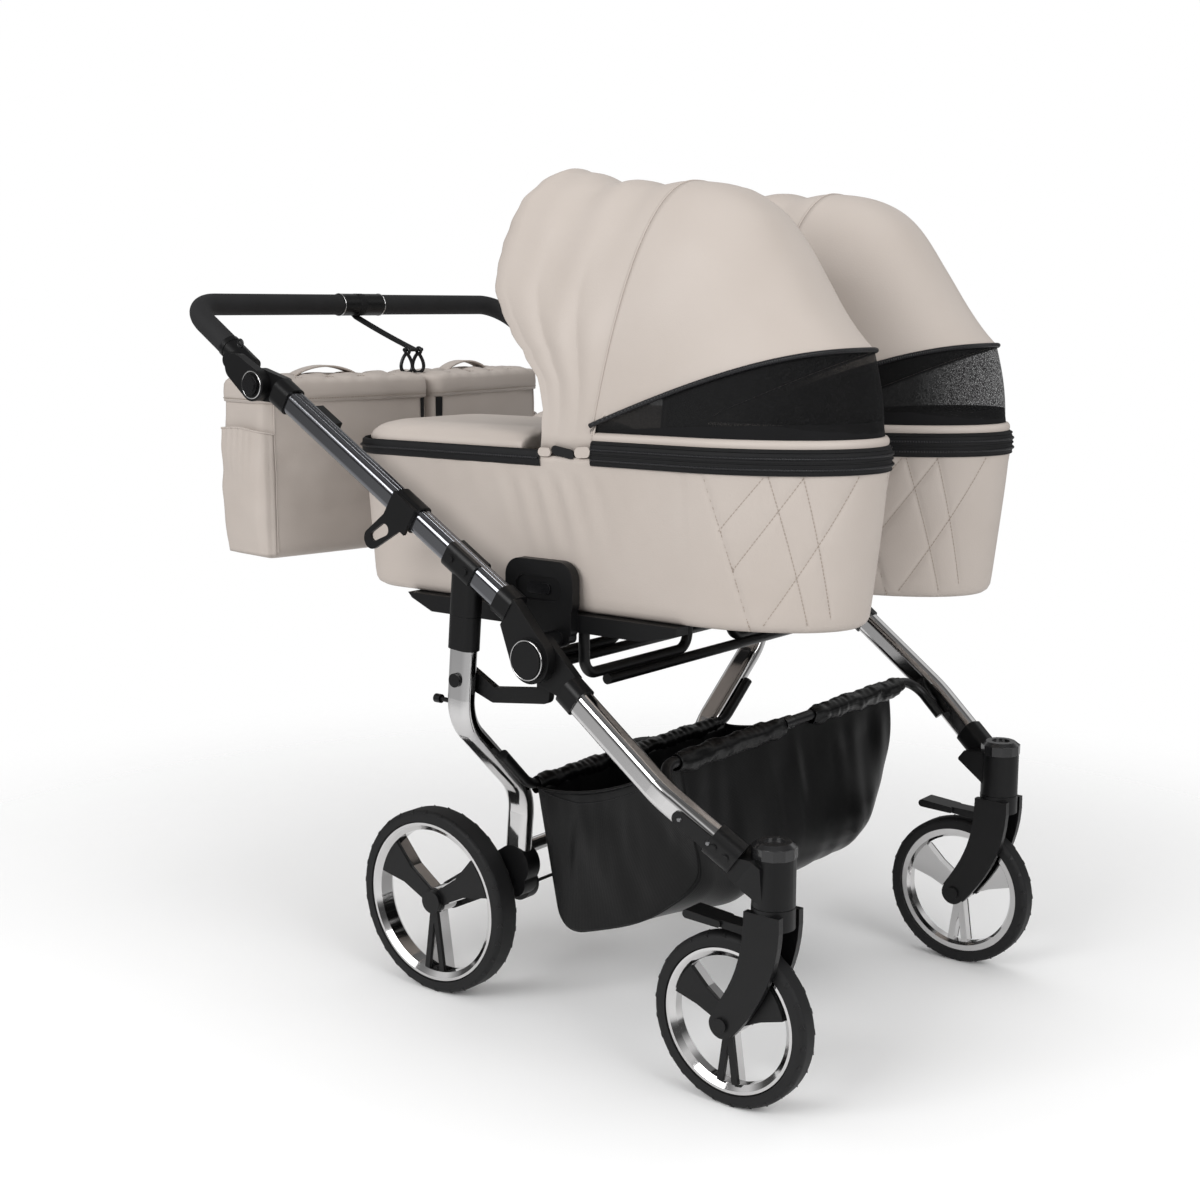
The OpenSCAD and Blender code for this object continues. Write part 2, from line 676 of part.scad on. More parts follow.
arm_end = 104;
arm_bore = 82;
handle_y = rail_y - 16;
arm_dir = [-cos(arm_slope), sin(arm_slope)];
handle_button_r = 16;
handle_button_travel = 3.5;
handle_button_floor = disc_mid + 10.5;

module handle_arms() color(black) both() difference() {
  union() {
    neck(hub, hub + 48 * arm_dir, hub_r, disc_mid + half_gap, disc_out);
    plate(handle_y - 4, disc_out - 2) capsule(hub + 50 * arm_dir, hub + 66 * arm_dir, grip_r - 2.5, grip_r - 5);
    translate([0, handle_y - rail_y, 0]) along(hub, 180 - arm_slope, 43, arm_end) circle(grip_r);
    translate([0, handle_y - rail_y, 0]) along(hub, 180 - arm_slope, arm_end - 8, arm_end) circle(grip_r + 1.2);
  }
  across(hub, pin_r + run, disc_mid, disc_mid + 9.4);
  across(hub, handle_button_r + run, handle_button_floor, disc_out + 1);
  translate([0, handle_y - rail_y, 0]) along(hub, 180 - arm_slope, arm_bore, arm_end + 1)
    circle(handle_tube_d / 2 + run);
}

module handle_button(s) color(grey) side(s) {
  across(hub, handle_button_r, handle_button_floor + handle_button_travel, disc_out + 5);
  across(hub, handle_button_r - 3, disc_out + 5, disc_out + 7);
}

module handle_tube() color(chrome) cross_plane(hub, 180 - arm_slope)
  swept([[handle_y, arm_bore + fit], [handle_y, arm_len], [-handle_y, arm_len], [-handle_y, arm_bore + fit]], handle_bend)
    circle(handle_tube_d / 2);

module handle_grips() color(grey) {
  both() cross_plane(hub, 180 - arm_slope)
    swept([[handle_y, arm_end + fit], [handle_y, arm_len], [band_w / 2 + fit, arm_len]], handle_bend) difference() {
      circle(grip_r);
      circle(handle_tube_d / 2 + run);
    }
  difference() {
    union() {
      across(bar, grip_r - 0.5, -band_w / 2, band_w / 2);
      for (y = [-band_w / 2, band_w / 2 - 4]) across(bar, grip_r + 0.6, y, y + 4);
    }
    across(bar, handle_tube_d / 2 + run, -band_w, band_w);
  }
}

// Nappy bags

bag_top = bar[1] - 118;
bag_front = -262;
bag_back = bag_front - bag_d;
bag_turn = 8;
bag_inner = 6;
strap_w = 9;
clip = [bag_front - 40, bag_top + 0.3 + 18 + 5.6];

// Strap looped over the bar's band, with two clips that reach down to the bags
module bag_strap() color(black) {
  difference() {
    union() {
      across(bar, grip_r + 3, -strap_w / 2, strap_w / 2);
      plate(-strap_w / 2, strap_w / 2) capsule(bar, clip, 3, 3);
    }
    across(bar, grip_r - 0.5 + air, -strap_w, strap_w);
  }
  across(clip, 6, -bag_inner - 18, bag_inner + 18);
  both() plate(bag_inner + 4, bag_inner + 14) difference() {
    capsule(clip, clip + [0, -18], 9, 5.6);
    capsule(clip + [0, -2], clip + [0, -16], 5, 2.5);
  }
}

function bag_outline(inset) = let (r = 26, w = bag_w - 2 * inset, d = bag_d - 2 * inset)
  [for (c = [[d - r, w - r, 0], [r, w - r, 90], [r, r, 180], [d - r, r, 270]], a = [0:15:90])
    [bag_back + inset + c[0] + r * cos(c[2] + a), bag_inner + inset + c[1] + r * sin(c[2] + a)]];

module slab(z, pts) translate([0, 0, z]) linear_extrude(0.2) polygon(pts);

// Turned outwards, and pressed flat against the other bag in the middle
module bag(s) color(cloth) side(s) intersection() {
  translate([bag_front, bag_inner, 0]) rotate([0, 0, bag_turn]) translate([-bag_front, -bag_inner, 0]) hull() {
    slab(bag_top - bag_h, bag_outline(9));
    slab(bag_top - bag_h + 14, bag_outline(1));
    slab(bag_top - 110, bag_outline(0));
    slab(bag_top - 16, bag_outline(1));
    slab(bag_top - 0.2, bag_outline(8));
  }
  translate([2 * bag_back, bag_inner / 2, bag_top - bag_h - 1]) cube([-2 * bag_back, 2 * bag_w, bag_h + 2]);
}

// Basket: a cloth trough between the two rails, with side panels

basket_back = [rear_rail_x + basket_rail_r + air, rear_rail_z - 2];
basket_front = [front_rail[0] - basket_rail_r - air, front_rail[1] - 4];

// A corner of a profile, rounded from r before it to r past it
function corner(a, b, c, r) = let (p = b + r * (a - b) / norm(a - b), q = b + r * (c - b) / norm(c - b))
  [for (i = [0:6]) let (t = i / 6) (1 - t) * (1 - t) * p + 2 * t * (1 - t) * b + t * t * q];

// The basket's profile drawn in by t: an upright back, a floor that rises forward and the front panel
function belly(t) = let (a = basket_back + [t, 0], b = [222 + t, 128 + t], c = [505 - t, 218 + t], d = basket_front - [t, 0])
  concat([a], corner(a, b, c, 48), corner(b, c, d, 64), [d]);

module basket() color(black) difference() {
  plate(-basket_half, basket_half) polygon(belly(0));
  plate(-basket_half + basket_wall, basket_half - basket_wall)
    polygon(concat([basket_back + [basket_wall, 40]], belly(basket_wall), [basket_front + [-basket_wall, 60]]));
}

module basket_front_rail() color(black) cross_plane(front_rail, -front_rail_tilt)
  swept([[front_rail_y, front_rail_leg], [front_rail_y, 0], [-front_rail_y, 0], [-front_rail_y, front_rail_leg]], 36) {
    circle(basket_rail_r);
    circle(basket_rail_r - 3 * seam);
  }

// Carrycots: outlines in plan, drawn for the left carrycot

corner_r = 80;

function cot_outline(w, back, nose, nose_l) = concat(
  [for (a = [-90:7.5:90]) [nose - nose_l + nose_l * cos(a), cot_y + w / 2 * sin(a)]],
  [for (a = [90:15:180]) [back + corner_r + corner_r * cos(a), cot_y + w / 2 - corner_r + corner_r * sin(a)]],
  [for (a = [180:15:270]) [back + corner_r + corner_r * cos(a), cot_y - w / 2 + corner_r + corner_r * sin(a)]]);

// Outline at a height, from the floor's to the rim's, drawn in by an inset
function cot_level(z, inset) = let (t = (z - floor_z) / (rim_z - floor_z), w = cot_floor_w + (cot_w - cot_floor_w) * t,
  nose = cot_nose - 24 + 24 * t, l = nose_len - 16 + 16 * t)
  cot_outline(w - 2 * inset, -cot_rear + inset, nose - inset, l - inset);

module cot_tub(s) color(cloth) side(s) difference() {
  hull() {
    slab(floor_z, cot_level(floor_z, 10));
    slab(floor_z + 5, cot_level(floor_z + 5, 3));
    slab(floor_z + 24, cot_level(floor_z + 24, 0));
    slab(rim_z - 0.2, cot_level(rim_z, 0));
  }
  hull() {
    slab(floor_z + cot_wall, cot_level(floor_z, cot_wall + 22));
    slab(floor_z + cot_wall + 18, cot_level(floor_z + 24, cot_wall));
    slab(rim_z, cot_level(rim_z, cot_wall));
  }
}

module mattress(s) color("white") side(s) hull() {
  slab(floor_z + cot_wall + 0.3, cot_level(floor_z, cot_wall + 26));
  slab(floor_z + cot_wall + mattress_h * 0.6, cot_level(floor_z, cot_wall + 4));
  slab(floor_z + cot_wall + mattress_h, cot_level(floor_z, cot_wall + 30));
}

// Padded apron over the foot end, from the rim's rear half
apron_front = rear_base[0] - 12;

function apron_outline(inset) = concat(
  [for (a = [90:15:180]) [-cot_rear + corner_r + (corner_r - inset) * cos(a),
    cot_y + cot_w / 2 - corner_r + (corner_r - inset) * sin(a)]],
  [for (a = [180:15:270]) [-cot_rear + corner_r + (corner_r - inset) * cos(a),
    cot_y - cot_w / 2 + corner_r + (corner_r - inset) * sin(a)]],
  [[apron_front, cot_y - cot_w / 2 + inset], [apron_front, cot_y + cot_w / 2 - inset]]);

module cot_apron(s) color(cloth) side(s) hull() {
  slab(rim_z + 0.2, apron_outline(2));
  slab(rim_z + 13, apron_outline(1));
  slab(rim_z + 24, apron_outline(24));
  slab(rim_z + 30, apron_outline(58));
}

// Hoods: cloth stretched over bows, each an arch from one side of the carrycot to the other

function mix(a, b, t) = a + (b - a) * t;

function arch(bow, half, t) = let (c = cos(180 * t), s = sin(180 * t), up = bow[3] * pow(max(s, 0), arch_power))
  [bow[0] + up * cos(bow[2]), cot_y + half * sign(c) * pow(abs(c), arch_power), bow[1] + up * sin(bow[2])];

arch_steps = 24;

// Points of the cloth at a place s between two bows, swelling out of the straight line by the given height
function stretched(a, b, s, swell, half, t) = let (m = (a[2] + b[2]) / 2,
  up = swell * sin(180 * s) * pow(sin(180 * t), 0.6))
  mix(arch(a, half, t), arch(b, half, t), s) + up * [cos(m), 0, sin(m)];

// Closed skin over rows given as [bow, next bow, place, swell], as thick as the hood's cloth
module skin(rows) {
  ns = len(rows) - 1;
  nt = arch_steps;
  w = nt + 1;
  thin = [0, 0, 0, -hood_wall];
  outer = [for (r = rows, j = [0:nt]) stretched(r[0], r[1], r[2], r[3], hood_half, j / nt)];
  inner = [for (r = rows, j = [0:nt])
    stretched(r[0] + thin, r[1] + thin, r[2], r[3], hood_half - hood_wall, j / nt)];
  n = len(outer);
  quad = function (a, b, c, d) [[a, b, c], [a, c, d]];
  faces = concat(
    [for (i = [0:ns - 1], j = [0:nt - 1], f = quad(i * w + j, i * w + j + 1, (i + 1) * w + j + 1, (i + 1) * w + j)) f],
    [for (i = [0:ns - 1], j = [0:nt - 1],
      f = quad(n + i * w + j, n + (i + 1) * w + j, n + (i + 1) * w + j + 1, n + i * w + j + 1)) f],
    [for (j = [0:nt - 1], f = quad(j, n + j, n + j + 1, j + 1)) f],
    [for (j = [0:nt - 1], f = quad(ns * w + j, ns * w + j + 1, n + ns * w + j + 1, n + ns * w + j)) f],
    [for (i = [0:ns - 1], f = quad(i * w, (i + 1) * w, n + (i + 1) * w, n + i * w)) f],
    [for (i = [0:ns - 1], f = quad(i * w + nt, n + i * w + nt, n + (i + 1) * w + nt, (i + 1) * w + nt)) f]);
  polyhedron(concat(outer, inner), faces);
}

// Mesh band and beige front panel, from the rim to the middle bow
module hood_front(s) color(cloth) side(s) skin(concat(
  [for (i = [0:2]) [mesh_bow, zip_bow, i / 3, 6]],
  [for (i = [0:6]) [zip_bow, mid_bow, i / 6, 34]]));

// Soft rear section: sagging between the middle bow and the rear bow, with its hem drawn in behind
rear_gap = [-0.4, 0, 0.4, 0];

module hood_rear(s) color(cloth) side(s) skin(concat(
  [for (i = [0:12]) [mid_bow + rear_gap, rear_bow, i / 12, -9 + 6 * cos(75 * i)]],
  [for (i = [1:2]) [rear_bow, hem_bow, i / 2, 4]]));

// Steel bow inside the hood's rear edge, pivoted at the carrycot's side
bow_arms = 20;

function bow_point(t) = arch(rear_bow + [0, 0, 0, -hood_wall - bow_r - air], hood_half - hood_wall - bow_r - air, t);

module hood_bow(s) color(grey) side(s) {
  pts = [for (i = [0:bow_arms]) bow_point(i / bow_arms)];
  ring = 8;
  shift = function (p, q, k) let (d = (q - p) / norm(q - p), u = cross([1, 0, 0], d) / norm(cross([1, 0, 0], d)),
    v = cross(d, u), a = 360 * k / ring) bow_r * (cos(a) * u + sin(a) * v);
  rows = [for (i = [0:bow_arms]) let (p = pts[max(i - 1, 0)], q = pts[min(i + 1, bow_arms)])
    [for (k = [0:ring - 1]) pts[i] + shift(p, q, k)]];
  polyhedron([for (r = rows, p = r) p], concat(
    [[for (k = [0:ring - 1]) k]],
    [[for (k = [0:ring - 1]) bow_arms * ring + ring - 1 - k]],
    [for (i = [0:bow_arms - 1], k = [0:ring - 1], f = [
      [i * ring + k, (i + 1) * ring + k, (i + 1) * ring + (k + 1) % ring],
      [i * ring + k, (i + 1) * ring + (k + 1) % ring, i * ring + (k + 1) % ring]]) f]));
}

module placed() translate([-centre_x, 0, 0]) children();

placed() lower_tubes();
placed() fold_knuckles_lower();
placed() caster_housings();
placed() caster_caps();
placed() dock_frame();
placed() cot_adapters();
placed() adapter_button(-1);  // adapter_button_R
placed() adapter_button(1);  // adapter_button_L
placed() leg_braces();
placed() basket();
placed() basket_front_rail();
placed() upper_tubes();
placed() fold_knuckles_upper();
placed() leg_clamps();
placed() handle_hubs();
placed() fold_release(-1);  // fold_release_R
placed() fold_release(1);  // fold_release_L
placed() handle_tube();
placed() handle_grips();
placed() handle_arms();
placed() handle_button(-1);  // handle_button_R
placed() handle_button(1);  // handle_button_L
placed() bag_strap();
placed() bag(-1);  // bag_R
placed() bag(1);  // bag_L
placed() rear_legs();
placed() leg_caps();
placed() axle_arms();
placed() rear_cross_tube();
placed() basket_rear_rail();
placed() brake_housings();
placed() brake_pedal();
placed() color(black) at_rear(-1) tyre(rear_wheel_d, rear_tyre_w);  // rear_tyre_R
placed() color(black) at_rear(1) tyre(rear_wheel_d, rear_tyre_w);  // rear_tyre_L
placed() color(chrome) at_rear(-1) rim(rear_wheel_d, rear_tyre_w);  // rear_rim_R
placed() color(chrome) at_rear(1) rim(rear_wheel_d, rear_tyre_w);  // rear_rim_L
placed() color(black) at_rear(-1) spoke_face(rear_wheel_d, rear_tyre_w);  // rear_spokes_R
placed() color(black) at_rear(1) spoke_face(rear_wheel_d, rear_tyre_w);  // rear_spokes_L
placed() color(black) at_front(-1) tyre(front_wheel_d, front_tyre_w);  // front_tyre_R
placed() color(black) at_front(1) tyre(front_wheel_d, front_tyre_w);  // front_tyre_L
placed() color(chrome) at_front(-1) rim(front_wheel_d, front_tyre_w);  // front_rim_R
placed() color(chrome) at_front(1) rim(front_wheel_d, front_tyre_w);  // front_rim_L
placed() color(black) at_front(-1) spoke_face(front_wheel_d, front_tyre_w, true);  // front_spokes_R
placed() color(black) at_front(1) spoke_face(front_wheel_d, front_tyre_w, true);  // front_spokes_L
placed() caster_fork(-1);  // caster_fork_R
placed() caster_fork(1);  // caster_fork_L
placed() kick_lever(-1);  // kick_lever_R
placed() kick_lever(1);  // kick_lever_L
placed() cot_tub(-1);  // cot_tub_R
placed() cot_tub(1);  // cot_tub_L
placed() mattress(-1);  // mattress_R
placed() mattress(1);  // mattress_L
placed() cot_apron(-1);  // cot_apron_R
placed() cot_apron(1);  // cot_apron_L
placed() hood_front(-1);  // hood_front_R
placed() hood_front(1);  // hood_front_L
placed() hood_bow(-1);  // hood_bow_R
placed() hood_bow(1);  // hood_bow_L
placed() hood_rear(-1);  // hood_rear_R
placed() hood_rear(1);  // hood_rear_L
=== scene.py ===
import bpy
import bmesh
import json
import math
from mathutils import Matrix, Vector, noise


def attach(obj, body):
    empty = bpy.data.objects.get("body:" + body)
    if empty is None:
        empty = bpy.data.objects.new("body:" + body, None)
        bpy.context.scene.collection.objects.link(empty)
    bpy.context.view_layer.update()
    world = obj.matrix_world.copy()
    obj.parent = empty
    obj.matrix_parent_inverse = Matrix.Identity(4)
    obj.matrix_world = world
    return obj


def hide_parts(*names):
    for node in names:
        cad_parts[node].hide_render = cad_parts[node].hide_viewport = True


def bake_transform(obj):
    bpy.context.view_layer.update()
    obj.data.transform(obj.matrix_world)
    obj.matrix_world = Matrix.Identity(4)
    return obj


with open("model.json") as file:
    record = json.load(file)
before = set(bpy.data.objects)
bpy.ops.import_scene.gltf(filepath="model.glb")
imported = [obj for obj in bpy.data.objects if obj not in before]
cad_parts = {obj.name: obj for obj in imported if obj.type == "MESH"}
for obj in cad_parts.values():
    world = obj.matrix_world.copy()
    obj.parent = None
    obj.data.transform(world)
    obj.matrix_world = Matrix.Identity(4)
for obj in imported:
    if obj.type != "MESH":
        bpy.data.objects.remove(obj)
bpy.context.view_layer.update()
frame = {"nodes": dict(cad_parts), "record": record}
nodes = frame["nodes"]
scene = bpy.context.scene

# Millimetres as in the part's source, counted from the rear axle along the pram
CENTRE_X = 123.8556
SIDES = (("R", -1), ("L", 1))


def at(x, y, z):
    return Vector(((x - CENTRE_X) / 1000, y / 1000, z / 1000))


# Camera at the photograph's place: a 52 mm lens on a 36 mm frame
camera_data = bpy.data.cameras.new("camera")
camera_data.lens = 52.05
camera_data.sensor_width = 36
camera = bpy.data.objects.new("camera", camera_data)
camera.location = (1.67188, -2.16912, 1.05566)
camera.rotation_euler = (math.radians(80.423), 0, math.radians(38.033))
scene.collection.objects.link(camera)
scene.camera = camera


# Materials

def linear(hex_code):
    """An sRGB hex colour as linear RGBA."""
    parts = [int(hex_code[i:i + 2], 16) / 255 for i in (0, 2, 4)]
    return [c / 12.92 if c <= 0.04045 else ((c + 0.055) / 1.055) ** 2.4 for c in parts] + [1]


def add(tree, kind, inputs=None, **settings):
    """One shader node with its settings, and its inputs as values or as links from other nodes."""
    n = tree.nodes.new(kind)
    for key, value in settings.items():
        setattr(n, key, value)
    for key, value in (inputs or {}).items():
        if isinstance(value, bpy.types.NodeSocket):
            tree.links.new(value, n.inputs[key])
        else:
            n.inputs[key].default_value = value
    return n


def material(name, hex_code, rough, **sockets):
    m = bpy.data.materials.new(name)
    m.use_nodes = True
    shader = m.node_tree.nodes["Principled BSDF"]
    shader.inputs["Base Color"].default_value = linear(hex_code)
    shader.inputs["Roughness"].default_value = rough
    for key, value in sockets.items():
        shader.inputs[key.replace("_", " ")].default_value = value
    return m, m.node_tree, shader


def mottled(tree, shader, vector, hex_a, hex_b, size_mm):
    """Slow colour variation between two near colours."""
    cloud = add(tree, "ShaderNodeTexNoise", {"Vector": vector, "Scale": 1000 / size_mm, "Detail": 3.0})
    mix = add(tree, "ShaderNodeMix", {"Factor": cloud.outputs["Fac"]}, data_type="RGBA")
    mix.inputs["A"].default_value = linear(hex_a)
    mix.inputs["B"].default_value = linear(hex_b)
    tree.links.new(mix.outputs["Result"], shader.inputs["Base Color"])


def grained(tree, shader, height, depth_mm, strength, normal=None):
    """Bump from a height pattern of the given depth."""
    inputs = {"Height": height, "Distance": depth_mm / 1000, "Strength": strength}
    if normal is not None:
        inputs["Normal"] = normal
    bump = add(tree, "ShaderNodeBump", inputs)
    tree.links.new(bump.outputs["Normal"], shader.inputs["Normal"])


def finish(name, hex_a, hex_b, drift_mm, rough, coords="Object", **sockets):
    """A material whose colour drifts between two near colours, and the coordinates that its patterns read."""
    m, tree, shader = material(name, hex_a, rough, **sockets)
    place = add(tree, "ShaderNodeTexCoord").outputs[coords]
    mottled(tree, shader, place, hex_a, hex_b, drift_mm)
    return m, tree, shader, place


# Coated leatherette: a soft satin skin with a pebbled grain of about 1 mm, drawn at 2.2 mm so that it shows
leatherette, tree, shader, place = finish("leatherette", "bab1aa", "b1a79f", 120, 0.5, Specular_IOR_Level=0.3)
pebble = add(tree, "ShaderNodeTexVoronoi", {"Vector": place, "Scale": 1000 / 2.2})
grained(tree, shader, pebble.outputs["Distance"], 0.25, 0.35)

# Sewing thread, a shade darker than the leatherette
thread = finish("sewing_thread", "9c9085", "8f8378", 3, 0.8)[0]

# Cotton lining of the carrycot, plain weave with threads drawn at 1.6 mm
lining, tree, shader, place = finish("cotton_lining", "d9d4cd", "cfc9c1", 60, 0.85)
weave = add(tree, "ShaderNodeTexBrick", {"Vector": place, "Scale": 1000 / 1.6})
grained(tree, shader, weave.outputs["Fac"], 0.2, 0.3)

# Black polyester lining inside the hoods: dull, with a weave that shows as grain of 1.5 mm
black_lining, tree, shader, place = finish("black_lining", "0b0b0c", "121214", 40, 0.8, Specular_IOR_Level=0.2)
weave = add(tree, "ShaderNodeTexNoise", {"Vector": place, "Scale": 1000 / 1.5, "Detail": 2.0})
grained(tree, shader, weave.outputs["Fac"], 0.2, 0.3)

# Coated black nylon of the basket: a tight weave with a silky sheen
nylon, tree, shader, place = finish("black_nylon", "050505", "080809", 90, 0.3, "UV", Specular_IOR_Level=0.2)
warp, weft = (add(tree, "ShaderNodeTexWave", {"Vector": place, "Scale": 1000 / 9.0, "Distortion": 0.6, "Detail": 1.0},
                  bands_direction=way) for way in "XY")
both = add(tree, "ShaderNodeMath", {0: warp.outputs["Fac"], 1: weft.outputs["Fac"]}, operation="MULTIPLY")
grained(tree, shader, both.outputs["Value"], 0.3, 0.35)

# Knitted mosquito net: black threads 2.4 mm apart, gathered close at its narrow ends and open over the nose
NET_CLOSE_X, NET_OPEN_X = 0.36, 0.54
net, tree, shader = material("insect_net", "0b0b0c", 0.75, Specular_IOR_Level=0.2)
coords = add(tree, "ShaderNodeTexCoord").outputs
holes = add(tree, "ShaderNodeTexVoronoi", {"Vector": coords["UV"], "Scale": 1000 / 2.4}, feature="DISTANCE_TO_EDGE")
along = add(tree, "ShaderNodeSeparateXYZ", {"Vector": coords["Object"]})
thin = add(tree, "ShaderNodeMapRange", {"Value": along.outputs["X"], "From Min": NET_CLOSE_X, "From Max": NET_OPEN_X,
                                        "To Min": 0.95, "To Max": 0.22})
cover = add(tree, "ShaderNodeMapRange", {"Value": holes.outputs["Distance"], "From Min": 0.05, "From Max": 0.2,
                                         "To Min": 0.98, "To Max": thin.outputs["Result"]})
tree.links.new(cover.outputs["Result"], shader.inputs["Alpha"])

# Zip tape with its woven ribs, and the moulded zip coil with its teeth
zip_tape, tree, shader, place = finish("zip_tape", "0d0d0e", "151517", 12, 0.7, "UV", Specular_IOR_Level=0.3)
rib = add(tree, "ShaderNodeTexWave", {"Vector": place, "Scale": 1000 / 10.0}, bands_direction="Y")
grained(tree, shader, rib.outputs["Fac"], 0.3, 0.4)
zip_coil, tree, shader, place = finish("zip_coil", "131315", "1b1b1e", 20, 0.4, "UV", Specular_IOR_Level=0.35)
teeth = add(tree, "ShaderNodeTexWave", {"Vector": place, "Scale": 1000 / 14.0}, bands_direction="X")
grained(tree, shader, teeth.outputs["Fac"], 0.8, 0.8)


def plated(name, hex_code, cloud_mm, detail, clear, hazy):
    """Bright plating: a mirror with patches of faint haze."""
    m, tree, shader = material(name, hex_code, clear, Metallic=1.0)
    place = add(tree, "ShaderNodeTexCoord").outputs["Object"]
    haze = add(tree, "ShaderNodeTexNoise", {"Vector": place, "Scale": 1000 / cloud_mm, "Detail": detail})
    dull = add(tree, "ShaderNodeMapRange", {"Value": haze.outputs["Fac"], "To Min": clear, "To Max": hazy})
    tree.links.new(dull.outputs["Result"], shader.inputs["Roughness"])
    return m


# Chrome plating on steel tube: mirror-like
chrome = plated("chrome_plating", "c9c8c8", 30.0, 2.0, 0.05, 0.12)
# Fluted tube of the upper frame: plated as the rest, with a darker colour that is painted shade for the dark
# surroundings it mirrors, and dulled by drawing
fluted_tube_shaded = plated("fluted_tube_painted_shade", "85868a", 22.0, 3.0, 0.09, 0.2)


def moulded(name, hex_a, hex_b, rough, grain_mm, depth_mm, edge_mm=0.8, **sockets):
    """Moulded plastic: a spark-eroded grain, slight colour drift and softened edges."""
    m, tree, shader, place = finish(name, hex_a, hex_b, 35, rough, **sockets)
    grain = add(tree, "ShaderNodeTexNoise", {"Vector": place, "Scale": 1000 / grain_mm, "Detail": 2.0})
    edge = add(tree, "ShaderNodeBevel", {"Radius": edge_mm / 1000}, samples=4)
    grained(tree, shader, grain.outputs["Fac"], depth_mm, 0.3, edge.outputs["Normal"])
    return m


# Glass-filled nylon of the joints, forks and clamps: black with a fine matt grain
nylon_moulding = moulded("black_nylon_moulding", "080809", "0d0d0e", 0.4, 1.6, 0.2, Specular_IOR_Level=0.28)
# Gloss ABS of the buttons
gloss_abs = moulded("gloss_abs", "0d0d0e", "131315", 0.25, 4.0, 0.05, 0.5, Specular_IOR_Level=0.4)
# Smoky polycarbonate caps over the casters
smoky = moulded("smoky_polycarbonate", "1a1a1b", "222223", 0.2, 6.0, 0.05, 1.0, Coat_Weight=0.3)
# Powder-coated black steel tube
powder = moulded("black_powder_coat", "070708", "0b0b0c", 0.34, 0.9, 0.1, Specular_IOR_Level=0.3)
# EVA foam sleeve of the handle with its skin pores
eva_foam = moulded("eva_foam", "272728", "1f1f20", 0.75, 1.8, 0.4, Specular_IOR_Level=0.25)
# Airless rubber tyre
rubber = moulded("tyre_rubber", "101011", "171718", 0.62, 2.2, 0.25, Specular_IOR_Level=0.3)
# The tyres' rubber where its blocks are cut, a little glossier
tread_rubber = moulded("tread_rubber", "0a0a0b", "101011", 0.45, 2.2, 0.1, Specular_IOR_Level=0.35)
# Spring steel wire
spring_steel = finish("spring_steel", "8a8a8c", "747476", 15, 0.35, Metallic=1.0)[0]
# Woven polyester webbing: dull black, uneven at the size of its ribs
webbing = finish("webbing", "0d0d0e", "161618", 6, 0.7, Specular_IOR_Level=0.3)[0]
# Cotton jersey of the mattress cover, its knit drawn at 2 mm
jersey, tree, shader, place = finish("cotton_jersey", "e6e3de", "dcd8d1", 50, 0.9)
knit = add(tree, "ShaderNodeTexNoise", {"Vector": place, "Scale": 1000 / 2.0, "Detail": 2.0})
grained(tree, shader, knit.outputs["Fac"], 0.3, 0.3)

FINISH = {"chrome": chrome, "black_plastic": nylon_moulding, "black_tube": powder, "smoky_plastic": smoky,
          "grey_plastic": gloss_abs, "foam": eva_foam, "tyre": rubber, "leatherette": leatherette,
          "black_cloth": nylon, "strap_hooks": gloss_abs, "white_cloth": jersey, "steel": spring_steel}
for sub in frame["record"]["subparts"]:
    mesh = nodes[sub["node"]].data
    mesh.materials.clear()
    mesh.materials.append(FINISH[sub["material_slot"]])
# The upper tubes take the darker plating, whose colour is painted shade for the dark surroundings they mirror
nodes["upper_tubes"].data.materials[0] = fluted_tube_shaded


# Making pieces

def shown(name, bm, materials, body, slot, smooth=True):
    """A finished piece from a bmesh, riding on its body."""
    mesh = bpy.data.meshes.new(name)
    bm.to_mesh(mesh)
    bm.free()
    for m in materials:
        mesh.materials.append(m)
    for p in mesh.polygons:
        p.use_smooth = smooth
    o = bpy.data.objects.new(name, mesh)
    scene.collection.objects.link(o)
    if body:
        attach(o, body)
    return o


def turned_out(bm, inside):
    """Turns an open sheet's faces away from an inside point."""
    bm.normal_update()
    if sum((f.calc_center_median() - inside).dot(f.normal) * f.calc_area() for f in bm.faces) < 0:
        bmesh.ops.reverse_faces(bm, faces=bm.faces)


def grid(columns, rows, put, size, inside=None, closed=False):
    """A grid of cloth placed by a function of its two running shares, with a UV map in metres."""
    bm = bmesh.new()
    uv = bm.loops.layers.uv.new("UVMap")
    bmesh.ops.create_grid(bm, x_segments=columns, y_segments=rows, size=1.0)
    share = {v: ((v.co.x + 1) / 2, (v.co.y + 1) / 2) for v in bm.verts}
    for f in bm.faces:
        for corner in f.loops:
            u, w = share[corner.vert]
            corner[uv].uv = (u * size[0], w * size[1])
    for v, (u, w) in share.items():
        v.co = put(u, w)
    if closed:
        bmesh.ops.remove_doubles(bm, verts=bm.verts, dist=1e-5)
        bmesh.ops.recalc_face_normals(bm, faces=bm.faces)
    if inside is not None:
        turned_out(bm, inside)
    return bm


def thicken(o, thick_mm, offset=-1.0):
    """A sheet's thickness, put on its inner side unless told otherwise."""
    m = o.modifiers.new("thickness", "SOLIDIFY")
    m.thickness = thick_mm / 1000
    m.offset = offset
    return o


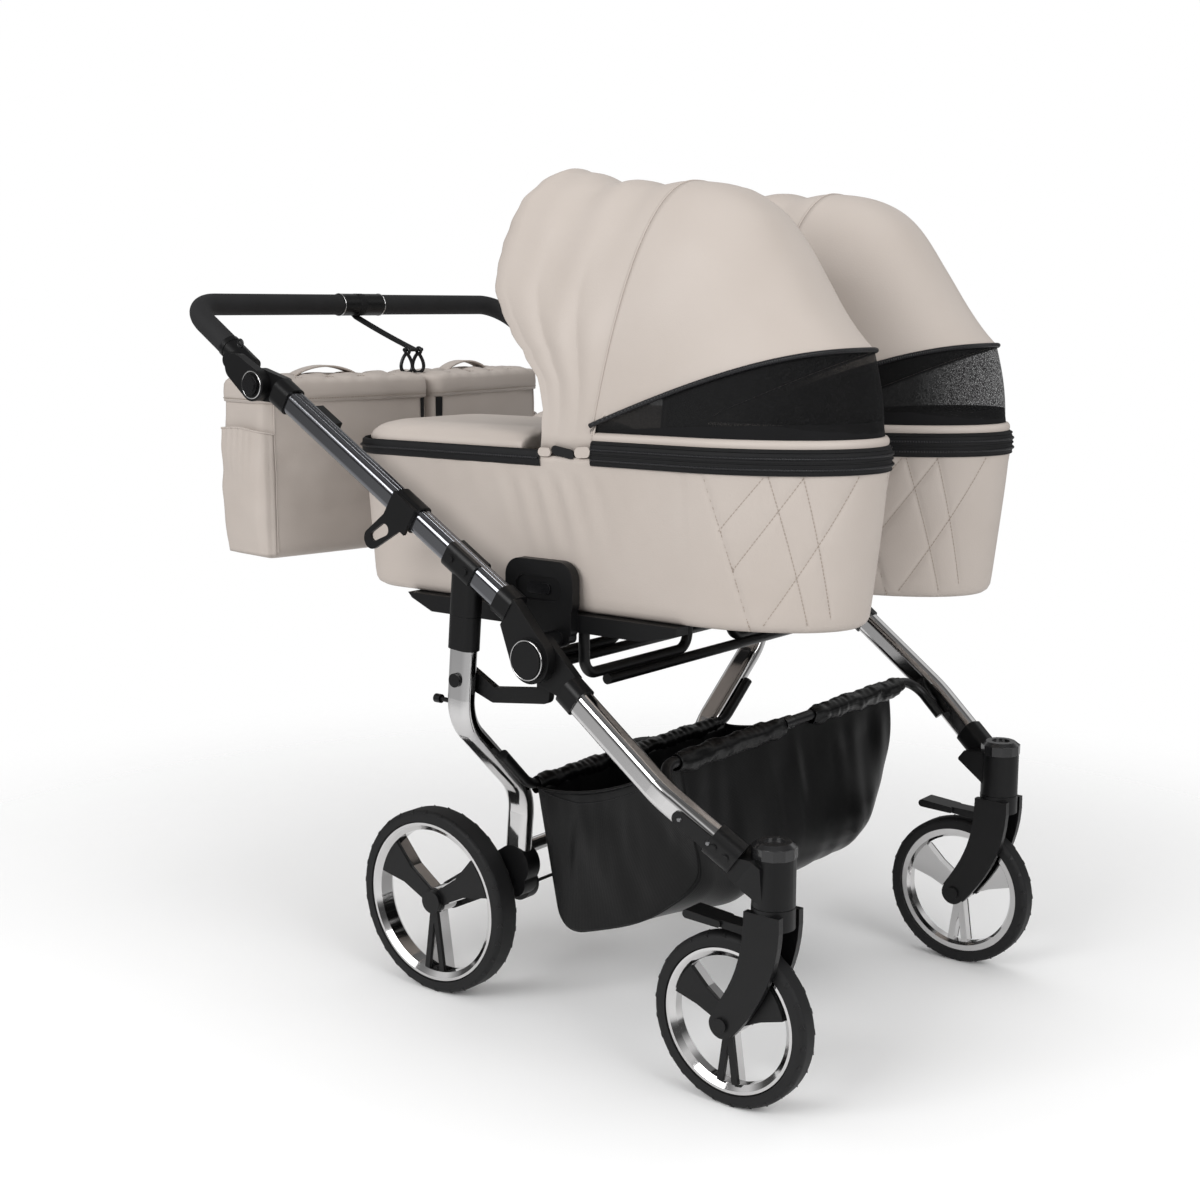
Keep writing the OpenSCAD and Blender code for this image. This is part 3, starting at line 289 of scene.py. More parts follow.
def tube(name, points, radius_mm, material_, body, slot, closed=False, sides=3):
    """A round bar along points in metres."""
    curve = bpy.data.curves.new(name, "CURVE")
    curve.dimensions = "3D"
    curve.bevel_depth = radius_mm / 1000
    curve.bevel_resolution = sides
    curve.use_fill_caps = True
    line = curve.splines.new("POLY")
    line.points.add(len(points) - 1)
    for p, q in zip(line.points, points):
        p.co = (*q, 1)
    line.use_cyclic_u = closed
    o = bpy.data.objects.new(name, curve)
    scene.collection.objects.link(o)
    mesh = bpy.data.meshes.new_from_object(o.evaluated_get(bpy.context.evaluated_depsgraph_get()))
    bpy.data.objects.remove(o)
    bm = bmesh.new()
    bm.from_mesh(mesh)
    bpy.data.meshes.remove(mesh)
    bmesh.ops.recalc_face_normals(bm, faces=bm.faces)
    return shown(name, bm, [material_], body, slot)


def stitched(name, lines, body, material_=thread, length_mm=3.6, step_mm=5.4, width_mm=0.9, slot="leatherette"):
    """Running stitches, one small block of thread each, along lines of (point, outward) pairs in metres."""
    bm = bmesh.new()
    for line in lines:
        gone = 0.0
        for (a, na), (b, nb) in zip(line, line[1:]):
            run = (b - a).length
            while gone < run:
                p = a.lerp(b, gone / run)
                along = (b - a).normalized()
                out = na.lerp(nb, gone / run).normalized()
                across = out.cross(along).normalized()
                turn = Matrix((along, across, out)).transposed().to_4x4()
                size = Matrix.Diagonal((length_mm / 1000, width_mm / 1000, width_mm / 1000, 1))
                bmesh.ops.create_cube(bm, size=1.0, matrix=Matrix.Translation(p) @ turn @ size)
                gone += step_mm / 1000
            gone -= run
    return shown(name, bm, [material_], body, slot, smooth=False)


def even_steps(points, n):
    """The line through points as n + 1 points at equal steps, and its length."""
    lengths = [0.0]
    for a, b in zip(points, points[1:]):
        lengths.append(lengths[-1] + (b - a).length)
    out, k = [], 0
    for i in range(n + 1):
        d = lengths[-1] * i / n
        while k < len(points) - 2 and lengths[k + 1] < d:
            k += 1
        out.append(points[k].lerp(points[k + 1], (d - lengths[k]) / max(1e-9, lengths[k + 1] - lengths[k])))
    return out, lengths[-1]


def filled_holes(bm, edges):
    """Closes the open ends among some edges, and turns all faces out."""
    bmesh.ops.holes_fill(bm, edges=[e for e in edges if e.is_boundary], sides=0)
    bmesh.ops.recalc_face_normals(bm, faces=bm.faces)


def ripple(x, y, z, size_mm, height_mm):
    """Slow noise of a given size and height, in millimetres."""
    return height_mm * noise.noise(Vector((x, y, z)) / size_mm)


def within(x, low=0.0, high=1.0):
    return min(high, max(low, x))


# Carrycots

COT_Y, RIM_Z, FLOOR_Z = 183, 854, 635
RIM_W, FLOOR_W = 294, 252
COT_BACK, NOSE, NOSE_LEN, CORNER = -140, 702, 207, 80
WALL = 8
# How much shorter the nose is at the floor, and how far its tip lies back there
NOSE_TAPER, NOSE_RAKE = 16, 24


def cot_point(kind, value, z, inset):
    """A point of the carrycot's outline at a height: along, and out from the carrycot's middle."""
    t = (z - FLOOR_Z) / (RIM_Z - FLOOR_Z)
    half = (FLOOR_W + (RIM_W - FLOOR_W) * t) / 2 - inset
    length = NOSE_LEN - NOSE_TAPER + NOSE_TAPER * t
    front = NOSE - NOSE_RAKE + NOSE_RAKE * t - length
    back = COT_BACK + inset + CORNER
    a = math.radians(value)
    if kind == "nose":
        return front + (length - inset) * math.cos(a), half * math.sin(a)
    if kind == "outer":
        return front + (back - front) * value, half
    if kind == "inner":
        return back + (front - back) * value, -half
    flat = half - CORNER
    if kind == "rear":
        return back - CORNER, flat * (1 - 2 * value)
    side = flat if value <= 180 else -flat
    return back + CORNER * math.cos(a), side + CORNER * math.sin(a)


def cot_columns(nose_n, side_n, corner_n, rear_n):
    """The outline's stations, once round the carrycot."""
    columns = [("nose", -90 + 180 * i / nose_n) for i in range(nose_n)]
    columns += [("outer", i / side_n) for i in range(side_n)]
    columns += [("corner", 90 + 90 * i / corner_n) for i in range(corner_n)]
    columns += [("rear", i / rear_n) for i in range(rear_n)]
    columns += [("corner", 180.001 + 90 * i / corner_n) for i in range(corner_n)]
    columns += [("inner", i / side_n) for i in range(side_n)]
    return columns


# Seams of the nose panel as (angle at the top, top, angle at the foot, foot), mirrored about the nose's tip
NOSE_SEAM = (82.2, 842, 61.5, 636)
NOSE_QUILT = [(56.5, 843, 35.8, 646), (42.5, 843, 23.2, 650), (58.2, 842, 76.0, 768), (42.2, 842, 70.2, 716),
              (15.0, 842, 57.0, 642)]


def quilt_distance(a, z):
    """Distance from the nearest stitched line of the nose panel, and whether the panel reaches here."""
    arm = math.hypot(NOSE_LEN * math.sin(math.radians(a)), RIM_W / 2 * math.cos(math.radians(a))) * math.pi / 180
    nearest = 1e3
    for a0, z0, a1, z1 in NOSE_QUILT:
        lean = (a1 - a0) / (z1 - z0)
        if z1 - 2 <= z <= z0 + 2:
            off = abs(abs(a) - (a0 + lean * (z - z0))) * arm
            nearest = min(nearest, off / math.hypot(1, lean * arm))
    a0, z0, a1, z1 = NOSE_SEAM
    lean = (a1 - a0) / (z1 - z0)
    seam = (a0 + lean * (z - z0) - abs(a)) * arm
    return nearest, seam / math.hypot(1, lean * arm)


# Soft upright folds under the end of the rear zip: their middle, half width and height
FOLD_X, FOLD_HALF, FOLD_MM = 267, 82, 4.5
# The cover hangs loose from here up to the rim, and lies flat again from here to the zip
LOOSE_Z, FLAT_Z = 700, 836


def cot_relief(kind, value, z, x, y):
    """How far the cover stands out or is drawn in, in millimetres."""
    if kind == "nose":
        line, seam = quilt_distance(value, z)
        puff = 0.9 * (1 - math.exp(-(line / 16) ** 2)) - 1.3 * math.exp(-(line / 4) ** 2)
        return (puff if seam > 0 else 0.0) - 1.5 * math.exp(-(seam / 3.5) ** 2)
    drape, folds = 0.3, 0.0
    if kind in ("outer", "inner"):
        drape = max(0.0, (z - LOOSE_Z) / (RIM_Z - LOOSE_Z))
        pulled = math.exp(-((x - FOLD_X) / FOLD_HALF) ** 2) * math.sin((x + 0.22 * (z - LOOSE_Z) - FOLD_X) / 6.2)
        folds = FOLD_MM * pulled * drape * within((FLAT_Z - z) / 30)
    return folds + drape * (ripple(x * 3.2, y, z * 0.5, 90, 3.0) + ripple(x * 1.2, y, z * 0.5, 60, 1.2))


# Heights and insets of the tub cover's rows: the foot's turn, the side, the rim's turn, the inside and its floor
SIDE_ROWS = 59
TUB_ROWS = ([(FLOOR_Z, 70), (FLOOR_Z, 15), (FLOOR_Z + 1.2, 7.5), (FLOOR_Z + 5, 2.6), (FLOOR_Z + 12, 0.6)]
            + [(FLOOR_Z + 24 + i * (RIM_Z - 6 - FLOOR_Z - 24) / (SIDE_ROWS - 1), 0) for i in range(SIDE_ROWS)]
            + [(RIM_Z - 2, 1), (RIM_Z - 0.3, 3), (RIM_Z - 0.3, WALL - 3), (RIM_Z - 2, WALL - 1)]
            + [(RIM_Z - 8 - i * (RIM_Z - 60 - FLOOR_Z) / 12, WALL) for i in range(13)]
            + [(FLOOR_Z + 24, WALL + 3), (FLOOR_Z + WALL + 3, WALL + 20), (FLOOR_Z + WALL, WALL + 60)])
FIRST_SIDE_ROW, TUB_OUTER = 4, 5 + SIDE_ROWS + 2


def tub_cover(side, s):
    """The carrycot's padded cover, with its lining inside and the stitching of its nose."""
    columns = cot_columns(150, 70, 16, 16)
    n, rows = len(columns), len(TUB_ROWS)
    bm = bmesh.new()
    uv = bm.loops.layers.uv.new("UVMap")
    bmesh.ops.create_grid(bm, x_segments=n, y_segments=rows - 1, size=1.0)
    share = {v: ((v.co.x + 1) / 2, (v.co.y + 1) / 2) for v in bm.verts}
    for f in bm.faces:
        w = sum(share[v][1] for v in f.verts) / len(f.verts)
        f.material_index = 0 if w * (rows - 1) < TUB_OUTER else 1
        for corner in f.loops:
            u, w = share[corner.vert]
            corner[uv].uv = (u * 1.9, w * 0.5)
    station, first = {}, {}
    for v, (u, w) in share.items():
        i, j = round(u * n) % n, round(w * (rows - 1))
        z, inset = TUB_ROWS[j]
        x, y = cot_point(*columns[i], z, inset)
        v.co = at(x, s * (COT_Y + y), z)
        station[v] = (i, j)
        first.setdefault((i, j), v)
    bmesh.ops.weld_verts(bm, targetmap={v: first[k] for v, k in station.items() if first[k] is not v})
    filled_holes(bm, bm.edges)
    bm.normal_update()
    for v, (i, j) in station.items():
        if v.is_valid and FIRST_SIDE_ROW <= j < FIRST_SIDE_ROW + SIDE_ROWS + 1:
            kind, value = columns[i]
            z = TUB_ROWS[j][0]
            x, y = cot_point(kind, value, z, 0)
            v.co += v.normal * cot_relief(kind, value, z, x, y) / 1000
    o = shown("cot_cover_" + side, bm, [leatherette, lining], "cot_" + side, "leatherette")
    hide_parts("cot_tub_" + side)
    lines = []
    for sign in (-1, 1):
        for a0, z0, a1, z1 in NOSE_QUILT + [NOSE_SEAM]:
            line = []
            for i in range(41):
                z = z0 - 2 + (z1 + 4 - z0) * i / 40
                a = sign * (a0 + (a1 - a0) * (z - z0) / (z1 - z0))
                x, y = cot_point("nose", a, z, 0)
                x2, y2 = cot_point("nose", a + 0.5, z, 0)
                out = Vector((y2 - y, s * (x - x2), 0)).normalized()
                p = at(x, s * (COT_Y + y), z) + out * (cot_relief("nose", a, z, x, y) + 0.2) / 1000
                line.append((p, out))
            lines.append(line)
    stitched("cot_stitching_" + side, lines, "cot_" + side)


# Zips start here along the rim: round the nose, and round the foot end
FRONT_ZIP_X, REAR_ZIP_X = 341, 252


def rim_path(front, start_x, inset, n):
    """The rim's line round the nose or round the foot end, from start_x on the outer side to the inner side."""
    if front:
        turn = [("nose", 90 - 3 * i) for i in range(61)]
    else:
        turn = [("corner", first + 7.5 * i) for first in (90, 180.001) for i in range(13)]
    half = cot_point("outer", 0, RIM_Z, inset)[1]
    points = [Vector(cot_point(kind, a, RIM_Z, inset)) for kind, a in turn]
    return even_steps([Vector((start_x, half))] + points + [Vector((start_x, -half))], n)


def band(name, side, s, front, start_x, rows, n, material_, slot, thick_mm):
    """A strip of cloth along the rim through rows of (height, inset)."""
    paths = [rim_path(front, start_x, inset, n)[0] for z, inset in rows]
    length = rim_path(front, start_x, 0, n)[1] / 1000
    height = sum(math.hypot(b[0] - a[0], b[1] - a[1]) for a, b in zip(rows, rows[1:])) / 1000

    def put(u, w):
        j = round(w * (len(rows) - 1))
        p = paths[j][round(u * n)]
        return at(p.x, s * (COT_Y + p.y), rows[j][0])

    bm = grid(n, len(rows) - 1, put, (length, height), at(330, s * COT_Y, RIM_Z))
    o = thicken(shown(name + side, bm, [material_], "cot_" + side, slot), thick_mm)


def rim_zip(side, s):
    """Zips round the rim: two rows over the nose, one round the foot end, and the padded band above."""
    n = 160
    band("front_zip_tape_", side, s, True, FRONT_ZIP_X,
         [(844, 0), (846, -2.2), (853, -2.6), (858, -2.0), (861, -2.6), (869, -2.0), (876, 0.5), (878, 3)],
         n, zip_tape, "black_cloth", 1.2)
    band("rear_zip_tape_", side, s, False, REAR_ZIP_X,
         [(839, 0), (841, -2.2), (850, -2.6), (859, -2.0), (862, 0.6)], n, zip_tape, "black_cloth", 1.2)
    for name, front, start, z, inset, radius, material_ in (
            ("front_zip_low_", True, FRONT_ZIP_X + 2, 852, -3.6, 1.7, zip_coil),
            ("front_zip_high_", True, FRONT_ZIP_X + 2, 866, -3.0, 1.7, zip_coil),
            ("rear_zip_", False, REAR_ZIP_X - 2, 850.5, -3.6, 1.7, zip_coil),
            ("front_zip_edge_a_", True, FRONT_ZIP_X + 1, 859.5, -3.0, 1.0, zip_tape),
            ("front_zip_edge_b_", True, FRONT_ZIP_X + 1, 874, -1.2, 1.0, zip_tape),
            ("front_zip_edge_c_", True, FRONT_ZIP_X + 1, 845, -1.6, 1.0, zip_tape)):
        path = [at(p.x, s * (COT_Y + p.y), z) for p in rim_path(front, start, inset, n)[0]]
        tube(name + side, path, radius, material_, "cot_" + side, "black_cloth")
    band("rim_band_", side, s, True, FRONT_ZIP_X - 1,
         [(868, 8), (877, 3), (881, 2), (885, 2.6), (888, 5), (889, 9), (886, 14)], n, leatherette, "leatherette", 1.5)


# Hoods: bows as (base along, base height, angle, length)

HOOD_TOP, REAR_ANGLE, REAR_FOOT = 1252, 101.5, 865
ZIP_BOW = (339, 880, 18.9, 352)
MID_BOW = (339, 880, 77.7, 353)
REAR_BOW = (229, REAR_FOOT, REAR_ANGLE, (HOOD_TOP - REAR_FOOT) / math.sin(math.radians(REAR_ANGLE)))
HEM_BOW = (223, REAR_FOOT, 106.0, REAR_BOW[3] * 0.93)
HOOD_HALF = 144
ARCH = 0.8
# The share of the rear section that lies before the rear bow, and how far linings and rod lie below the cloth
REAR_SHARE, LINING_DROP, ROD_DROP = 0.8, 6, 7
NET_FOOT_Z, HEM_Z = 886, 858


def arch(bow, half, t, drop=0.0):
    """A point of a bow at a share of its run from side to side; the zip bow stands higher at its shoulders."""
    base_x, base_z, angle, length = bow
    c, rise = math.cos(math.pi * t), max(0.0, math.sin(math.pi * t)) ** ARCH
    up, a = (length - drop) * rise, math.radians(angle)
    lift = 18 + 4 * math.sin(math.pi * rise) - 11 * rise ** 6 if bow is ZIP_BOW else 0.0
    out = math.copysign((half - drop) * abs(c) ** ARCH, c)
    return Vector((base_x + up * math.cos(a), out, base_z + up * math.sin(a) + lift))


def hood_point(a, b, share, swell, t, drop=0.0, lean=1.0):
    """A point of the cloth between two bows, swelling out of the straight line between them."""
    m = math.radians((a[2] + b[2]) / 2)
    up = swell * math.sin(math.pi * share ** lean) * max(0.0, math.sin(math.pi * t)) ** 0.6
    p = arch(a, HOOD_HALF, t, drop).lerp(arch(b, HOOD_HALF, t, drop), share)
    return p + Vector((math.cos(m), 0, math.sin(m))) * up


def out_at(p, s):
    return at(p.x, s * (COT_Y + p.y), p.z)


def front_panel(share, t, drop=0.0):
    """The tight front panel, fullest near the zip bow."""
    p = hood_point(ZIP_BOW, MID_BOW, share, 46, t, drop, 1.75)
    wave = ripple(p.x, p.y, p.z, 110, 3.0) + ripple(p.x + 70, p.y, p.z, 50, 0.9)
    edge = math.sin(math.pi * share) * math.sin(math.pi * t)
    return p + Vector((math.cos(0.84), 0, math.sin(0.84))) * wave * edge


# How far forward the rear section is drawn at a height: in at the top and above the rim, out in the middle
DRAWN = [(865, 27), (890, 36), (925, 48), (955, 49), (990, 32), (1020, 14), (1050, 1), (1080, -8), (1110, -2),
         (1140, 6), (1170, 16), (1200, 25), (1230, 40), (1256, 54)]


def drawn(z):
    if z <= DRAWN[0][0]:
        return DRAWN[0][1]
    for (z0, d0), (z1, d1) in zip(DRAWN, DRAWN[1:]):
        if z <= z1:
            k = (1 - math.cos(math.pi * (z - z0) / (z1 - z0))) / 2
            return d0 + (d1 - d0) * k
    return DRAWN[-1][1]


def rear_panel(share, t, drop=0.0):
    """The soft rear section: from the middle bow over the rear bow to the hem that is drawn in behind."""
    side = max(0.0, math.sin(math.pi * t))
    if share <= REAR_SHARE:
        k = share / REAR_SHARE
        fold = -10 + (7 + 3 * math.cos(2 * math.pi * t)) * math.cos(5 * math.pi * k)
        p = hood_point(MID_BOW, REAR_BOW, k, fold, t, drop)
    else:
        p = hood_point(REAR_BOW, HEM_BOW, (share - REAR_SHARE) / (1 - REAR_SHARE), 9, t, drop)
        k = 1.0
    p = p + Vector((drawn(p.z) * k, 0, 0))
    # Long soft folds that run up from the drawn-in foot, and slower unevenness
    crease = 9.0 * math.sin(2 * math.pi * 1.35 * k - 0.3 + 2.4 * min(t, 1 - t)) * math.sin(math.pi * k) ** 0.7
    crease *= math.exp(-((p.z - 990) / 120) ** 2) * min(1, 3 * side) * abs(math.cos(math.pi * t))
    wave = ripple(p.x * 0.7, p.y, p.z * 0.7, 70, 4.0) * min(1.0, 4 * share * side)
    hem = (ZIP_BOW[1] - 15 * k - HEM_Z) * math.exp(-(side / 0.12) ** 2)
    return p + Vector((0, math.copysign(0.5, p.y), 0.8)) * wave + Vector((0, math.copysign(crease, p.y), -hem))


def hood(side, s):
    """Panels, linings, net and zip of one hood; of the rear section, only its rod rides on the hood's fold."""
    inside = at(330, s * COT_Y, 950)
    cot, rear = "cot_" + side, "hood_" + side
    n = 120
    foot = rim_path(True, FRONT_ZIP_X, 9, n)[0]

    def section(name, columns, rows, shape, drop, size, material_, body, slot):
        bm = grid(columns, rows, lambda u, w: out_at(shape(w, u, drop), s), size, inside)
        if drop:
            bmesh.ops.reverse_faces(bm, faces=bm.faces)
        return shown(name + side, bm, [material_], body, slot)

    def net_point(u, share):
        low = foot[round(u * n)]
        return Vector((low.x, low.y, NET_FOOT_Z)).lerp(arch(ZIP_BOW, HOOD_HALF, u, 1), share)

    def net_put(u, w):
        swell = 5 * math.cos(0.15) * math.sin(math.pi * w) * math.sin(math.pi * u)
        return out_at(net_point(u, w) + Vector((swell, 0, 0)), s)

    def hem_put(u, w):
        p = net_point(u, 0.2 * w)
        gather = 1.2 * math.sin(150 * u) + ripple(p.x, p.y, p.z, 15, 1.5)
        return out_at(p + Vector((1.2, math.copysign(0.6, p.y), gather * (1 - w) * 0.8)), s)

    front_size, back_size = (0.9, 0.36), (0.9, 0.3)
    panel = thicken(section("hood_panel_", 96, 40, front_panel, 0, front_size, leatherette, cot, "leatherette"), 2.0)
    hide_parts("hood_front_" + side)
    back = thicken(section("hood_back_", 96, 60, rear_panel, 0, back_size, leatherette, None, "leatherette"), 2.0)
    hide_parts("hood_rear_" + side)
    front_lining = section("hood_lining_", 64, 20, front_panel, LINING_DROP, front_size, black_lining, cot,
                           "black_cloth")
    back_lining = section("hood_back_lining_", 64, 40, rear_panel, LINING_DROP, back_size, black_lining, None,
                          "black_cloth")
    window = shown("hood_net_" + side, grid(n, 24, net_put, (0.95, 0.11), inside), [net], cot, "black_cloth")
    hem = shown("net_hem_" + side, grid(n, 6, hem_put, (0.95, 0.02), inside), [black_lining], cot, "black_cloth")
    top = [out_at(arch(ZIP_BOW, HOOD_HALF + 1, i / n, -1), s) for i in range(n + 1)]
    tube("hood_zip_" + side, top, 3.4, zip_coil, cot, "black_cloth")
    seam = [out_at(arch(MID_BOW, HOOD_HALF + 0.1, i / n, -0.2), s) for i in range(n + 1)]
    tube("hood_seam_" + side, seam, 1.1, leatherette, cot, "leatherette")
    for o in (back, back_lining):
        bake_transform(o)
    rod = [out_at(rear_panel(REAR_SHARE, i / n, ROD_DROP), s) for i in range(n + 1)]
    bow = tube("hood_rod_" + side, rod, 3.0, spring_steel, rear, "steel")
    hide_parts("hood_bow_" + side)


for side, s in SIDES:
    tub_cover(side, s)
    rim_zip(side, s)
    hood(side, s)


# Nappy bags, each in its own square position before it is turned and mirrored into place

BAG_FRONT, BAG_BACK, BAG_INNER, BAG_OUTER = -262, -392, 6, 340
BAG_MIDDLE = (BAG_FRONT + BAG_BACK) / 2
BAG_TOP, BAG_LOW, BAG_R = 942.16, 656.16, 26
BAG_TURN, BAG_HALF_GAP = math.radians(8), 3.2
# Where the outer end's corners lie on the outline, and the pocket's start and run between them
CORNER_SHARES, POCKET_START, POCKET_RUN, POCKET_TOP = (0.167, 0.345), 0.169, 0.174, 858
# The lid's quilting: its first line, the spacing and the slope of the diagonals
QUILT_FIRST, QUILT_STEP, QUILT_SLOPE = 40, 62, 0.75


def bag_at(x, y, z, s):
    dx, dy = x - BAG_FRONT, y - BAG_INNER
    return at(BAG_FRONT + dx * math.cos(BAG_TURN) - dy * math.sin(BAG_TURN),
              s * max(BAG_HALF_GAP, BAG_INNER + dx * math.sin(BAG_TURN) + dy * math.cos(BAG_TURN)), z)


def bag_ring(share, inset):
    """A point of the bag's outline and its outward direction, from the middle of the front round by the outer end."""
    x0, x1, y0, y1 = BAG_BACK + inset, BAG_FRONT - inset, BAG_INNER + inset, BAG_OUTER - inset
    r = max(4.0, BAG_R - inset)
    wide, deep, bend = y1 - y0 - 2 * r, x1 - x0 - 2 * r, math.pi / 2 * r
    runs = [(wide / 2, (x1, (y0 + y1) / 2), (0, 1)), (bend, (x1 - r, y1 - r), 0), (deep, (x1 - r, y1), (-1, 0)),
            (bend, (x0 + r, y1 - r), 90), (wide, (x0, y1 - r), (0, -1)), (bend, (x0 + r, y0 + r), 180),
            (deep, (x0 + r, y0), (1, 0)), (bend, (x1 - r, y0 + r), 270), (wide / 2, (x1, y0 + r), (0, 1))]
    d = (share % 1.0) * sum(run[0] for run in runs)
    for run, p, way in runs:
        if d <= run + 1e-6:
            break
        d -= run
    if isinstance(way, tuple):
        return p[0] + way[0] * d, p[1] + way[1] * d, way[1], -way[0]
    a = math.radians(way) + d / r
    return p[0] + r * math.cos(a), p[1] + r * math.sin(a), math.cos(a), math.sin(a)


def bag_skin(share, z, inset, s):
    """The bag's side, bulging between its corners and drawn in at the seams."""
    x, y, nx, ny = bag_ring(share, inset)
    up = within((z - BAG_LOW) / (BAG_TOP - BAG_LOW))
    full = 0.6 if abs(ny) > 0.7 else math.sin(math.pi * within((y - BAG_INNER) / (BAG_OUTER - BAG_INNER)))
    bulge = 6 * full * math.sin(math.pi * (0.12 + 0.8 * up) ** 0.8) - 2
    crease = ripple(x + 300 * s, y, z * 1.6, 75, 3.4) + ripple(x * 2, y * 2 + 90 * s, z * 3, 90, 1.6)
    lift = bulge + crease * math.sin(math.pi * min(1, up * 1.05))
    return bag_at(x + nx * lift, y + ny * lift, z, s)


def bag(side, s):
    """One bag: body, quilted lid, stitching, piping, carry strap, black trim and end pocket."""
    n = 150
    heart = bag_at(BAG_MIDDLE, 173, BAG_TOP - 60, s)
    rows = [(BAG_LOW + 1, 46), (BAG_LOW + 0.6, 18), (BAG_LOW + 3, 9), (BAG_LOW + 8, 4), (BAG_LOW + 15, 1.5)]
    rows += [(BAG_LOW + 22 + i * 6.2, 0.5) for i in range(40)]
    rows += [(BAG_TOP - 12, 3), (BAG_TOP - 8, 10), (BAG_TOP - 7, 40)]
    lid_rows = [(BAG_TOP - 37, 2.0), (BAG_TOP - 36, -2.2), (BAG_TOP - 22, -2.6), (BAG_TOP - 9, -1.6),
                (BAG_TOP - 3, 1.6), (BAG_TOP - 1, 5)]
    lid_rows += [(BAG_TOP + 3 - 3 * math.exp(-i / 3), 8 + 5 * i) for i in range(11)]

    def put(u, w):
        z, inset = rows[round(w * (len(rows) - 1))]
        return bag_skin(u, z, inset, s)

    def lid_put(u, w):
        z, inset = lid_rows[round(w * (len(lid_rows) - 1))]
        x, y, nx, ny = bag_ring(u, inset)
        line = min(abs(y - BAG_INNER - QUILT_FIRST - QUILT_STEP * k - way * (x - BAG_MIDDLE) * QUILT_SLOPE) * 0.8
                   for k in range(-1, 6) for way in (-1, 1))
        puff = 4.0 * (1 - math.exp(-(line / 8) ** 2)) * within(inset / 10 + 0.3)
        x += nx * (ripple(x, y, z, 40, 1.0) + puff * (0.5 if w < 0.4 else 0))
        return bag_at(x, y, z + (ripple(x, y, 7 * s, 55, 1.2) + puff) * min(1, w * 1.6), s)

    def carry_put(u, w):
        return bag_at(BAG_MIDDLE + 22 * (w - 0.5), 118 + 128 * u, BAG_TOP + 2.4 + 17 * math.sin(math.pi * u) ** 0.7, s)

    def trim_put(u, w):
        return bag_skin(0.8275 + 0.015 * (w - 0.5), BAG_TOP - 38 - 110 * u, -1.4, s)

    def pocket_put(u, w):
        share = POCKET_START + POCKET_RUN * u
        z = BAG_LOW + 6 + (POCKET_TOP - BAG_LOW - 6 + 9 * math.sin(math.pi * u)) * w
        x, y, nx, ny = bag_ring(share, 0)
        full = math.sin(math.pi * u) ** 0.7
        gather = 1.1 * math.sin(60 * u) * w ** 4
        bulge = 8.5 * math.sin(math.pi * min(1.0, 0.1 + 0.62 * w)) + gather + ripple(x, y, z, 45, 2.0)
        way = bag_at(x + nx, y + ny, z, s) - bag_at(x, y, z, s)
        return bag_skin(share, z, 0, s) + way * (1.6 + bulge * full) * min(1.0, 0.3 + 6 * w)

    bm = grid(n, len(rows) - 1, put, (0.93, 0.3), closed=True)
    filled_holes(bm, bm.edges)
    body = shown("bag_body_" + side, bm, [leatherette], "bags", "leatherette")
    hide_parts("bag_" + side)
    bm = grid(n, len(lid_rows) - 1, lid_put, (0.93, 0.1), closed=True)
    top = [e for e in bm.edges if e.is_boundary and e.verts[0].co.z > BAG_TOP / 1000 - 0.02]
    bmesh.ops.holes_fill(bm, edges=top, sides=0)
    turned_out(bm, heart)
    lid = thicken(shown("bag_lid_" + side, bm, [leatherette], "bags", "leatherette"), 2.0)
    # Stitching: a line along the skirt's foot and diagonals over the lid
    foot = []
    for i in range(201):
        x, y, nx, ny = bag_ring(i / 200, -2.9)
        foot.append((bag_at(x, y, BAG_TOP - 31, s), bag_at(x + nx, y + ny, 0, s) - bag_at(x, y, 0, s)))
    stitches = [foot]
    for k in range(5):
        for way in (-1, 1):
            line = []
            for i in range(-51, 52, 3):
                y = BAG_INNER + QUILT_FIRST + QUILT_STEP * k + way * i * QUILT_SLOPE
                if BAG_INNER + 14 < y < BAG_OUTER - 14:
                    line.append((bag_at(BAG_MIDDLE + i, y, BAG_TOP + 3.4 - 1.6 * abs(i) / 51, s), Vector((0, 0, 1))))
            stitches.append(line)
    stitched("bag_stitching_" + side, stitches, "bags")
    # Corner seams with piping, the carry strap on the lid, black trim at the inner corner and the end pocket
    for k, share in enumerate(CORNER_SHARES):
        line = [bag_skin(share, BAG_LOW + 12 + i * 5.8, -0.2, s) for i in range(42)]
        tube("bag_piping_%d_%s" % (k, side), line, 1.3, leatherette, "bags", "leatherette")
    bm = grid(40, 6, carry_put, (0.15, 0.022), heart)
    carry = thicken(shown("bag_carry_strap_" + side, bm, [leatherette], "bags", "leatherette"), 3.0)
    bm = grid(30, 5, trim_put, (0.11, 0.022), heart)
    trim = thicken(shown("bag_trim_" + side, bm, [webbing], "bags", "black_cloth"), 1.5)
    bm = grid(48, 36, pocket_put, (0.17, 0.2), heart)
    pocket = thicken(shown("bag_pocket_" + side, bm, [leatherette], "bags", "leatherette"), 1.6)
    tube("pocket_hem_" + side, [pocket_put(i / 48, 0.995) for i in range(49)], 1.6, leatherette, "bags", "leatherette")


for side, s in SIDES:
    bag(side, s)


# Basket: a cloth trough on two rails, with side panels and gathered sleeves

def rounded(points, radii, n):
    """A line through points with its corners rounded, as n + 1 points at equal steps."""
    dense = [points[0]]
    for a, b, c, r in zip(points, points[1:], points[2:], radii):
        p, q = b + r * (a - b).normalized(), b + r * (c - b).normalized()
        dense += [p * (1 - k) ** 2 + b * 2 * k * (1 - k) + q * k * k for k in (i / 12 for i in range(13))]
    return even_steps(dense + [points[-1]], n)[0]


